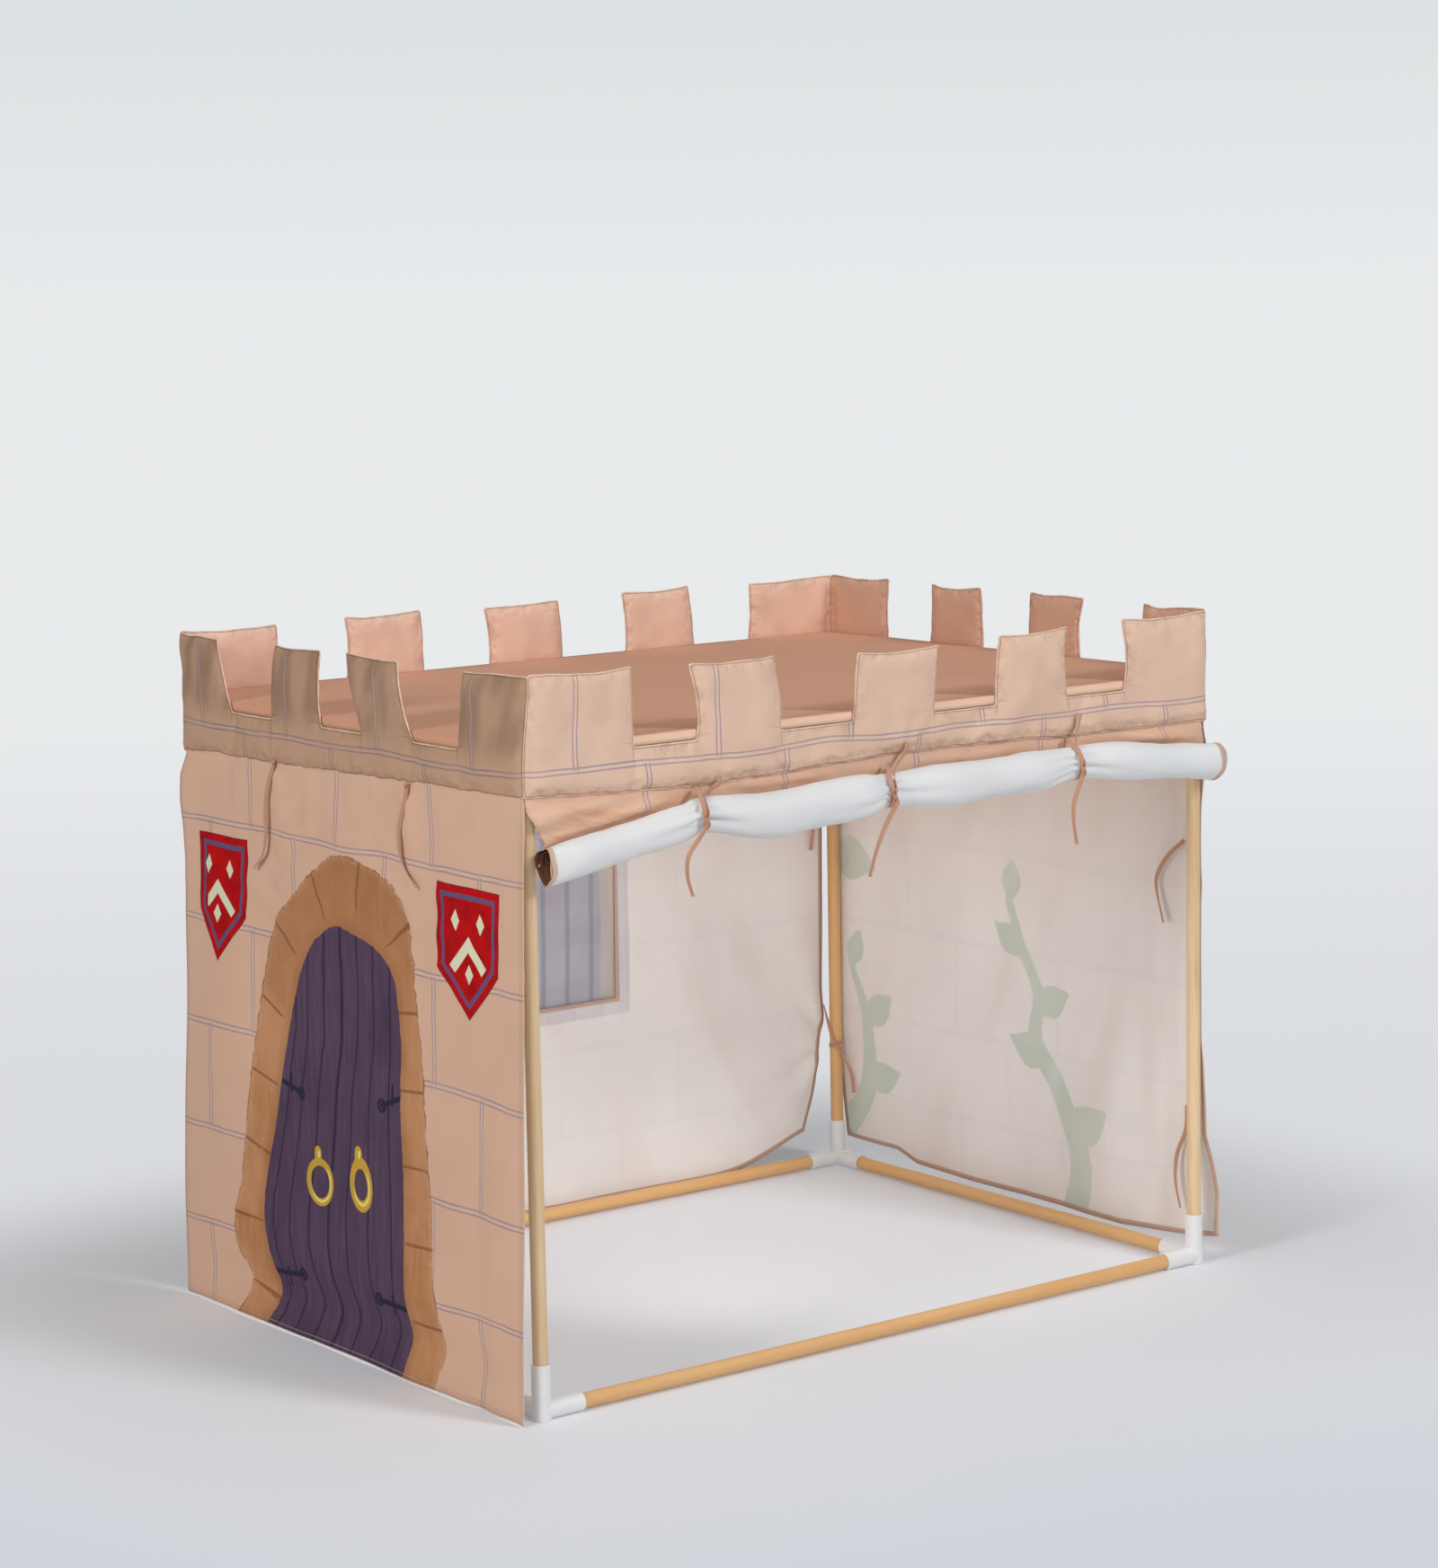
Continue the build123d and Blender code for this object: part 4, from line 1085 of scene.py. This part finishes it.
def puff(pieces):
    """Let closed cloth pieces fill out and wrinkle where they are sewn, and keep the result."""
    starts = {}
    for piece in pieces:
        starts[piece] = np.empty(len(piece.data.vertices) * 3)
        piece.data.vertices.foreach_get("co", starts[piece])
        settings = piece.modifiers.new("puff", "CLOTH").settings
        for key, value in PUFF_SETTINGS.items():
            setattr(settings, key, value)
        settings.effector_weights.gravity = 0
    scene = bpy.context.scene
    for step in range(1, PUFF_STEPS + 1):
        scene.frame_set(step)
    graph = bpy.context.evaluated_depsgraph_get()
    for piece in pieces:
        done = piece.evaluated_get(graph).data
        after = np.empty(len(done.vertices) * 3)
        done.vertices.foreach_get("co", after)
        move = (after - starts[piece]).reshape(-1, 3)
        length = np.linalg.norm(move, axis=1)[:, None]
        move *= np.tanh(length / PUFF_CAP) * PUFF_CAP / np.maximum(length, 1e-9)
        piece.modifiers.clear()
        piece.data.vertices.foreach_set("co", starts[piece] + move.ravel())
        piece.data.update()
        fine = piece.modifiers.new("fine", "SUBSURF")
        fine.levels = 1
        fine.render_levels = 1
    scene.frame_set(1)


parapet_cloths = {key: cloth(name, colour, draw, folds=0.4, padded=True) for key, name, colour, draw in (
    ("plain", "parapet_print", PEACH, draw_stones),
    ("left", "parapet_print_painted_shade", PEACH, draw_stones_painted_shade),
    # the front panel's print in a paler tone, as painted light
    ("front", "parapet_print_painted_light", tone(224, 189, 166), draw_stones),
    ("inside", "parapet_plain", PLAIN, None),
    # the right panel's plain side in a darker tone, as painted shade
    ("far", "parapet_plain_painted_shade", tone(218, 174, 150), None),
)}


def make_parapets():
    """The four panels: their feet's heights, where tapes pull, and their first printed joint."""
    level = ((-744, 990), (744, 990))
    fronts, lefts = ((-366, 1000), (26, 1014), (417, 1028)), ((-206, 992), (206, 990))
    pieces = [
        make_parapet("front", FRONT_MERLONS, FRONT_FOOT, fronts, FRONT_JOINT, 51, False),
        make_parapet("back", BACK_MERLONS, level, (), BACK_JOINT, 61, True),
        make_parapet("left", LEFT_MERLONS, LEFT_FOOT, lefts, SIDE_JOINT, 91, True),
        make_parapet("right", RIGHT_MERLONS, level, (), SIDE_JOINT, 81, False),
    ]
    puff(pieces)


# The rolled front wall: places along it and its axis height there
TIES = (-427.0, -38.0, 383.0)
ROLL_ENDS = (-727.0, 721.0)
ROLL_PLACES = (-727, -562, -456, -411, -293, -200, -86, -22, 89, 189, 291, 403, 501, 608, 721)
ROLL_HEIGHTS = (893, 918, 935, 945, 933, 938, 944, 946, 943, 945, 947, 952, 946, 935, 925)
ROLL_RADII = (31, 29, 29.5, 29, 37, 38, 37.5, 29, 37, 33, 35.5, 29, 35, 30.5, 34)
ROLL_TURNS = 5
# Creases beside a tie: their angle and its spread, and how long and how deep they may be
ROLL_FOLDS = [(middle, 0.2, (20, 60), (1.5, 3.5)) for middle in np.arange(0.3, 6.2, 0.7)]
ROLL_FOLDS += [(3.05, 0.12, (24, 36), (13.0, 16.0)), (2.75, 0.1, (60, 110), (6.0, 8.0)),
               (3.7, 0.15, (50, 90), (4.0, 6.0))]


def roll_stations():
    """Places along the roll, closer together where the ties gather it."""
    places = [ROLL_ENDS[0]]
    while places[-1] < ROLL_ENDS[1]:
        gap = min(abs(places[-1] - tie) for tie in TIES)
        places.append(places[-1] + (2.7 if gap < 45 else 4.6 if gap < 110 else 9.5))
    places = np.array(places)
    return ROLL_ENDS[0] + (places - places[0]) * (ROLL_ENDS[1] - ROLL_ENDS[0]) / (places[-1] - places[0])


def roll_creases(along, angle):
    """Folds that run out from each tie along the roll, deepest beside it."""
    draw = np.random.RandomState(131).uniform
    depth = np.zeros(len(along))
    for tie in TIES:
        for side in (-1, 1):
            on = smooth(0, 9, (along - tie) * side)
            away = np.maximum((along - tie) * side, 0)
            folds = [(middle + draw(-spread, spread), draw(*runs), draw(*depths))
                     for middle, spread, runs, depths in ROLL_FOLDS]
            for middle, run, deep in folds:
                width, drift = draw(0.08, 0.16), draw(-0.004, 0.004)
                turn = (angle - middle - drift * away + np.pi) % (2 * np.pi) - np.pi
                crease = bell(turn, 0, width + 0.002 * away) * np.exp(-away / run)
                depth += on * deep * crease
    return depth


def make_front_wall():
    """The front wall: it hangs from the roof's edge, then coils outward, gathered at three ties."""
    along = roll_stations()
    height = np.interp(along, *zip(*spline(list(zip(ROLL_PLACES, ROLL_HEIGHTS)), 6)))
    gap = np.min([abs(along - tie) for tie in TIES], axis=0)
    near_left, near_right = smooth(70, 0, along - ROLL_ENDS[0]), smooth(70, 0, ROLL_ENDS[1] - along)
    radius = np.interp(along, *zip(*spline(list(zip(ROLL_PLACES, ROLL_RADII)), 6)))
    radius = radius + (28.5 - radius) * np.exp(-(gap / 26) ** 1.6)
    strip_y = FRONT - CLOTH_IN
    inner = 2 * np.pi + np.linspace(0, 2 * np.pi * (ROLL_TURNS - 1), 18 * (ROLL_TURNS - 1) + 1)[1:]
    turn = np.concatenate([np.linspace(0, 2 * np.pi, 73), inner])
    rows = []
    for share in np.linspace(0, 1, 20)[:-1]:
        z = WALL_TOP + (height - WALL_TOP) * share
        free = smooth(height + 0.8 * radius, height + 1.3 * radius, z) * smooth(992, 972, z)
        slant = (z - 1000 + 0.17 * gap) * 2 * np.pi / 34 + 0.8 * waves(along, 0, 110, 104)
        pleat = np.sin(along * 2 * np.pi / 15) * np.exp(-gap / 26)
        crumple = 5.0 * waves(along + 1.6 * z, z - 0.5 * along, 46, 105) * smooth(30, 120, gap)
        fold = free * (6.5 * smooth(12, 110, gap) * (1 + np.sin(slant)) + 2.5 * (1 + pleat) + crumple)
        shift = near_left * (34 * np.clip((978 - z) / 50, 0, 1) - 9)
        shift = shift + 9 * near_right * smooth(1000, 980, z)
        x_in, y_in = tuck(along + shift + MIDDLE_X, strip_y - 0.3 - fold, z, CLOTH_IN)
        rows.append(np.stack([x_in - MIDDLE_X, y_in, z], -1))
    for angle in turn:
        lap = angle / (2 * np.pi)
        tight = radius * (1 - 0.075 * lap) - (1.5 if lap > 1 else 0.0)
        soft = 1.5 * waves(along, 24 * angle, 55, 111) + 0.8 * waves(along, 24 * angle, 24, 112)
        ragged = sum(size * math.sin(times * angle + start)
                     for size, times, start in ((1.8, 2, 0.7), (1.6, 3, 2.1), (1.0, 5, 0.0)))
        ends = ragged * np.maximum(near_left, near_right)
        dents = soft * smooth(0, 40, gap) - roll_creases(along, angle)
        r = tight + dents * (1.0 if lap <= 1 else 0.9) + ends
        r = np.maximum(r, 5.0 + 1.1 * (ROLL_TURNS - lap))
        start = smooth(0, 0.35, angle)
        r = radius + (r - radius) * start if lap < 1 else r
        flat = 1 - 0.36 * near_left * start
        depth = strip_y - (radius - r * math.cos(angle)) * flat
        rows.append(np.stack([along, depth, height - r * math.sin(angle)], -1))
        jag = 6.0 * float(waves(lap * 60.0, 3.0, 9, 121))
        rows[-1][:, 0] += near_left ** 2 * ((12 + jag) if lap <= 1 else (10 + 4 * lap + jag))
        rows[-1][:, 0] += near_right ** 2 * (0.6 * jag + (-4 if lap <= 1 else 2 + 2 * lap))
    points = np.array(rows)
    points[:, :, 0] += MIDDLE_X
    laps = np.concatenate([np.zeros(19), turn / (2 * np.pi)])
    shape = points.shape[:2]
    printed = cloth("front_print", PEACH, draw_strip, hemmed=0, folds=0.6)
    lining = cloth("white_lining", LINING, draw_lining, hemmed=0.95, folds=0.5, glow=0.05, ink=HEM)
    steps = np.linalg.norm(np.diff(points, axis=0), axis=2)
    down = np.concatenate([np.zeros((1, shape[1])), np.cumsum(steps, axis=0)])
    across = np.tile(along, (shape[0], 1))
    wound = np.clip(laps - 1, 0, 1)[:, None]
    made = make_sheet(
        "front_wall_rolled", np.moveaxis(points, -1, 0), [printed, lining], "lining_cloth", "front_wall",
        THIN_CLOTH, flip=True,
        print=(across, WALL_TOP - down), brick=brick_place(across, WALL_TOP - down, FRONT_JOINT),
        # depth and deep mark the roll's inside, where painted shade darkens both sides
        depth=np.repeat(np.clip(laps * 2, 0, 1)[:, None], shape[1], 1),
        deep=wound * smooth(0.0, 0.3, near_left)[None, :],
        edge=np.minimum(across - ROLL_ENDS[0], ROLL_ENDS[1] - across) + 14 * wound,
    )


# Tapes


def ribbon(path, facing, width=8.0, thickness=1.0, count=8, curl=0.0):
    """Points and faces of a flat tape along a smooth path, its flat side toward facing."""
    line = spline(path, count)
    along = np.gradient(line, axis=0)
    along /= np.linalg.norm(along, axis=1)[:, None]
    facing = np.array(facing, float)
    side = np.cross(along, facing)
    side /= np.linalg.norm(side, axis=1)[:, None]
    front = np.cross(side, along)
    turn = curl * np.sin(np.linspace(0, math.pi * 1.5, len(line)))[:, None]
    side, front = side * np.cos(turn) + front * np.sin(turn), front * np.cos(turn) - side * np.sin(turn)
    profile = ((-0.5, -0.3), (-0.5, 0.3), (-0.3, 0.5), (0.3, 0.5),
               (0.5, 0.3), (0.5, -0.3), (0.3, -0.5), (-0.3, -0.5))
    rings = [line + side * width * a + front * thickness * b for a, b in profile]
    points = np.stack(rings, 1).reshape(-1, 3)
    size = len(profile)
    faces = []
    for i in range(len(line) - 1):
        for j in range(size):
            k = (j + 1) % size
            faces.append((i * size + j, i * size + k, (i + 1) * size + k, (i + 1) * size + j))
    faces.append(tuple(range(size))[::-1])
    faces.append(tuple((len(line) - 1) * size + j for j in range(size)))
    run = np.concatenate([[0], np.cumsum(np.linalg.norm(np.diff(line, axis=0), axis=1))])
    across = np.tile([a * width for a, _ in profile], len(line))
    return points, faces, np.repeat(run, size), across


def tie(name, strands):
    """One piece made of several lengths of tape."""
    points, parts, runs, sides = zip(*strands)
    starts = np.cumsum([0] + [len(p) for p in points])
    faces = [tuple(i + start for i in face)
             for part, start in zip(parts, starts.tolist()) for face in part]
    made = new_object(name + "_tape", np.concatenate(points), faces, [tape])
    store(made, "print", np.concatenate(sides), np.concatenate(runs))
    dress(made, name)


def tape_material():
    """A narrow folded tape with a stitched edge."""
    paint = Paint("tape")
    place = paint.stored("print", "Vector")
    colour, normal = weave(paint, place, TAPE, 0.2)
    across, run, _ = paint.parts(place)
    row = abs(across - 2.4)
    dash = paint.rise(paint.math("SINE", run * 2.1), -0.2, 0.3)
    stitch = paint.rise(row, 0.5, 0.2) * dash
    colour = paint.mix(stitch * 0.6, colour, tone(222, 184, 160))
    normal = paint.bump(stitch, 0.0004, -0.6, normal)
    return paint.finish(colour, normal, Roughness=0.9, Sheen_Weight=0.2, Specular_IOR_Level=0.2)


tape = tape_material()


def knot(centre, size, turn=0.0):
    """Two short wraps that cross, as in a pulled knot."""
    cos, sin = math.cos(turn), math.sin(turn)
    strands = []
    for lean in (0.5, -0.6):
        loop = []
        for angle in np.linspace(0, 2 * math.pi, 9):
            side, depth = math.cos(angle) * size, math.sin(angle) * size * 0.62 - 0.5
            turned = (side * cos - depth * sin, side * sin + depth * cos, side * lean)
            loop.append(np.array(centre) + turned)
        strands.append(ribbon(loop, (0.05, 0.1, 1), 1.6, 6.5, 4))
    return strands


def make_roll_ties():
    """Three tapes that hold the roll: up from behind, round it, knotted in front, tails down."""
    strip_y = FRONT - CLOTH_IN
    band_y = FRONT - CLOTH_OUT - 13.5
    # Each tie's name, its place and the roll's height behind it, its two roots, and its tail
    details = (
        ("roll_tie_left", -405.0, 948.0, ((-410, 985), (-366, 1003)),
         ((-449, 912), (-469, 887), (-472, 856), (-463, 824))),
        ("roll_tie_middle", -22.0, 947.0, ((-14, 984), (26, 1020)),
         ((-36, 930), (-62, 895), (-84, 855), (-100, 814))),
        ("roll_tie_right", 398.0, 952.0, ((388, 990), (417, 1034)),
         ((376, 930), (358, 895), (354, 860), (360, 818))),
    )
    for index, (name, place, height, hems, tail) in enumerate(details):
        x, r = TIES[index] + MIDDLE_X, 29.6
        cy = strip_y - 28.5
        front_y = cy - r
        (ax, az), (bx, bz) = hems
        strands = [round_tape(place + MIDDLE_X, cy, height, r, x - place - MIDDLE_X)]
        strands.append(ribbon([
            (ax + MIDDLE_X, band_y + 1.5, az + 3), (x - 4, cy - 26, height + 22),
            (x, front_y - 2.2, height - 4), (x + 4, front_y - 1.0, height - 15),
            (x + 3, cy - 23, height - 23),
        ], (-0.45, -0.88, 0.15), 7.5))
        path = [
            (bx + MIDDLE_X, band_y - 1.5, bz), (bx + MIDDLE_X - 5, band_y - 4.0, bz - 14),
            (x + 0.5 * (bx - place), band_y - 17, az - 6), (x + 4, front_y - 3.6, height + 4),
            (x - 2, front_y - 3.8, height - 10), (x - 7, front_y - 3.2, height - 24),
        ]
        path += [(px + MIDDLE_X, strip_y - 64 - 0.03 * (height - pz), pz) for px, pz in tail]
        strands.append(ribbon(path, (-0.45, -0.88, 0.1), 7.5, curl=1.1))
        strands += knot((x - 1, front_y - 3.2, height - 7), 3.6)
        tie(name, strands)


def wrap(line, outward, sideways, step):
    """Points and faces of a tape along a line, its flat side toward outward, its print by steps."""
    points, faces = [], []
    for p, o in zip(line, outward):
        for side, depth in ((-4, -0.5), (-4, 0.5), (4, 0.5), (4, -0.5)):
            points.append(p + o * depth + np.array(sideways) * side)
    for i in range(len(line) - 1):
        for j in range(4):
            k = (j + 1) % 4
            faces.append((i * 4 + j, i * 4 + 4 + j, i * 4 + 4 + k, i * 4 + k))
    run = np.repeat(np.arange(len(line)) * step, 4)
    return np.array(points), faces, run, np.tile([-4, -4, 4, 4], len(line))


def round_tape(x, cy, height, r, lean):
    """The part of a tape that comes down behind the roll, passes under it and up its front."""
    line = [(cy + r, 1050.0), (cy + r, height + 30), (cy + r, height)]
    line += [(cy + r * math.cos(a), height - r * math.sin(a))
             for a in np.linspace(0.25, math.pi * 1.1, 9)]
    path = spline([(x, a, b) for a, b in line], 5)
    step = np.gradient(path, axis=0)
    step /= np.linalg.norm(step, axis=1)[:, None]
    out = np.stack([0 * step[:, 0], step[:, 2], -step[:, 1]], 1)
    path[:, 0] += lean * (cy + r - path[:, 1]) / (2 * r)
    points, faces, run, sides = wrap(path, out, (1, 0, 0), 8.0)
    faces += [(0, 1, 2, 3), tuple(len(points) - 4 + j for j in range(4))[::-1]]
    return points, faces, run, sides


def make_door_ties():
    """Two unused tapes that hang from the band's hem over the door wall."""
    x = LEFT - CLOTH_OUT - 7.5
    for name, points in (
        ("door_tie_near", ((-206, 992), (-203, 965), (-187, 927), (-182, 894), (-196, 859), (-231, 826))),
        ("door_tie_far", ((206, 990), (226, 946), (235, 903), (236, 860), (249, 824), (277, 800))),
    ):
        path = [(x - (0 if i else -2) - 0.018 * (990 - z), y + MIDDLE_Y, z)
                for i, (y, z) in enumerate(points)]
        a, b, c = path[0]
        root = [(a - 1.5, b - 4, c + 3), (a - 4, b, c - 1), (a - 1.5, b + 4, c - 5)]
        tie(name, [ribbon(path, (-1, 0, 0), curl=0.6), ribbon(root, (-1, 0, 0), 6.0, 1.6)])


def make_corner_ties():
    """The tapes at the back right post and on the far wall's front edge."""
    x, y = RIGHT, BACK
    r = 13.4
    loop = [(x + r * math.cos(angle), y + r * math.sin(angle), 250 + 5 * math.sin(angle + 2.2))
            for angle in np.linspace(0, 2 * math.pi, 13)]
    strands = [belt(loop, (x, y))]
    strands += knot((x - 7.5, y - 15.0, 246), 5.5, 0.7)
    up = [(x - 8.5, y - 15.5, 250), (x - 17, y - 9, 268), (x - 22, y - 1, 300), (x - 26, y + 6, 330)]
    down = [(x - 6.5, y - 16.5, 244), (x + 2, y - 24, 222), (x + 9, y - 36, 190), (x + 10, y - 42, 152)]
    strands.append(ribbon(up, (0.2, -1, 0.1), 7.5, curl=0.4))
    strands.append(ribbon(down, (-0.3, -1, 0.2), 7.5, curl=0.7))
    tie("corner_tie_back", strands)
    x, y = RIGHT - 40, BACK + CLOTH_IN - 2.2
    path = [(x, y + 1.6, 738), (x + 1, y, 715), (x - 2, y - 1, 680), (x - 8, y - 2, 646)]
    tie("corner_tie_back_upper", [ribbon(path, (0, -1, 0), curl=0.3)])
    inner = RIGHT + CLOTH_IN - 3.0
    for name, points in (
        ("corner_tie_right_upper", ((-472, 770), (-440, 742), (-414, 708), (-408, 677), (-426, 615))),
        ("corner_tie_right_lower", ((-478, 285), (-476, 240), (-455, 190), (-452, 140), (-462, 92))),
    ):
        path = [(inner - 7 * float(smooth(-470, -430, a)), a + MIDDLE_Y, b) for a, b in points]
        tie(name, [ribbon(path, (-1, 0, 0), curl=0.35)])


def belt(loop, centre):
    """A tape wrapped round a post, its flat side on the wood."""
    line = spline(loop, 3)
    out = line - np.array([*centre, 0.0])
    out[:, 2] = 0
    out /= np.linalg.norm(out, axis=1)[:, None]
    return wrap(line, out, (0, 0, 1), 2.2)


# Camera, floor and light


def make_camera():
    """The photograph's viewpoint, found from the posts' and rails' places in it."""
    yaw, pitch, roll = math.radians(52.646), math.radians(7.949), math.radians(-1.0515)
    forward = Vector((math.cos(pitch) * math.cos(yaw), math.cos(pitch) * math.sin(yaw), -math.sin(pitch)))
    right = Vector((math.sin(yaw), -math.cos(yaw), 0))
    up = right.cross(forward)
    across = right * math.cos(roll) + up * math.sin(roll)
    upward = up * math.cos(roll) - right * math.sin(roll)
    matrix = Matrix((across, upward, -forward)).transposed().to_4x4()
    matrix.translation = Vector((-4067.0, -5369.35, 1841.6)) * MM
    data = bpy.data.cameras.new("camera")
    data.lens, data.sensor_width, data.clip_end = 88.4, 36.0, 300
    made = bpy.data.objects.new("camera", data)
    made.matrix_world = matrix
    bpy.context.scene.collection.objects.link(made)
    bpy.context.scene.camera = made


def make_stage():
    """A wide pale floor that fades into the backdrop's colour a little way from the tent."""
    paint = Paint("studio_floor")
    world = paint.world()
    past = paint.vector("SUBTRACT", paint.vector("ABSOLUTE", world), (0.75, 0.55, 0.0))
    away = paint.vector("LENGTH", paint.vector("MAXIMUM", past, (0.0, 0.0, 0.0)), out=1)
    depth = paint.vector("DOT_PRODUCT", world, (0.607, 0.795, 0.0), out=1)
    cloud = paint.noise(world, 1.2, 2.0)
    near = paint.mix(cloud, tone(225, 226, 230), tone(230, 231, 235))
    near = paint.node("BsdfDiffuse", {"Color": near})
    # the glowing far floor is darker towards the front, as painted shade
    pale = paint.mix(paint.rise(depth, -2.4, 0.4), tone(204, 208, 216), tone(217, 219, 223))
    pale = paint.mix(paint.rise(depth, 0.4, 9.0), pale, BACKDROP)
    far = paint.node("Emission", {"Color": pale, "Strength": 1.0})
    fade = paint.rise(away, 0.1, 1.0)
    seen = paint.node("LightPath", out="Is Camera Ray")
    paint.node("OutputMaterial", {0: paint.node("MixShader", {0: fade * seen, 1: near, 2: far})})
    corners = [(-FLOOR, -FLOOR, 0), (FLOOR, -FLOOR, 0), (FLOOR, FLOOR, 0), (-FLOOR, FLOOR, 0)]
    floor = new_object("floor", corners, [(0, 1, 2, 3)], [paint.owner])


def make_world():
    """Even light from all round, and a pale backdrop that darkens a little upward."""
    paint = Paint("world", "worlds")
    bpy.context.scene.world = paint.owner
    up = paint.node("SeparateXYZ", {0: paint.node("TexCoord", out="Generated")}, 2)
    rise = paint.node("MapRange", {"Value": up, "From Min": -0.01, "From Max": 0.06})
    shade = paint.mix(rise, BACKDROP, tone(219, 225, 226))
    light = paint.node("Background", {0: (0.98, 0.99, 1.0, 1.0), 1: 0.22})
    seen = paint.node("Background", {0: shade, 1: 1.0})
    camera_ray = paint.node("LightPath", out="Is Camera Ray")
    paint.node("OutputWorld", {0: paint.node("MixShader", {0: camera_ray, 1: light, 2: seen})})


def area_light(name, place, target, size, power, colour, shadow=True, spread=180.0):
    """A round lamp that points at a target."""
    data = bpy.data.lights.new(name, "AREA")
    data.shape = "DISK"
    data.size = size
    data.energy = power
    data.color = colour
    data.use_shadow = shadow
    data.spread = math.radians(spread)
    made = bpy.data.objects.new(name, data)
    made.location = place
    made.visible_camera = False
    made.rotation_mode = "QUATERNION"
    made.rotation_quaternion = (Vector(target) - Vector(place)).to_track_quat("-Z", "Y")
    bpy.context.scene.collection.objects.link(made)


def make_lights():
    """A key in front, a fill on the left, a low lamp, and weak ones behind, above and inside the tent."""
    area_light("key", (1.6, -5.7, 4.6), (0, 0, 0.5), 1.7, 190, (0.95, 0.98, 1.0))
    area_light("fill", (-5.9, -1.3, 3.1), (0, 0, 0.5), 1.6, 156, (1.0, 0.99, 0.97))
    area_light("low", (-1.2, -7.0, 1.3), (0, 0, 0.6), 3.0, 58, (0.97, 0.98, 1.0))
    area_light("back", (5.5, 5.5, 1.2), (0, 0, 0.5), 3.0, 38, (0.98, 0.98, 1.0), shadow=False)
    area_light("top", (0.0, 0.0, 6.0), (0, 0, 0), 3.0, 56, (0.97, 0.99, 1.0), shadow=False)
    area_light("inside", (-0.45, -0.32, 0.55), (0.74, 0.50, 0.5), 0.5, 2.2, (1.0, 0.98, 0.97),
               spread=130.0)


make_camera()
make_stage()
make_world()
make_lights()
make_door_wall()
make_far_wall()
make_window_wall()
make_shutter()
make_roof()
make_parapets()
make_front_wall()
make_roll_ties()
make_door_ties()
make_corner_ties()

grains = [wood("wood_" + "xyz"[axis], axis) for axis in range(3)]
white = plastic()
for name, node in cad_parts.items():
    if name.startswith("fitting"):
        materials = white
    elif name.startswith("upright"):
        materials = grains[2]
    elif "_rail_" in name:
        materials = grains[0] if name.endswith(("front", "back")) else grains[1]
    else:
        continue
    for index in range(len(node.material_slots)):
        node.material_slots[index].material = materials

bpy.context.scene.view_settings.view_transform = "Standard"
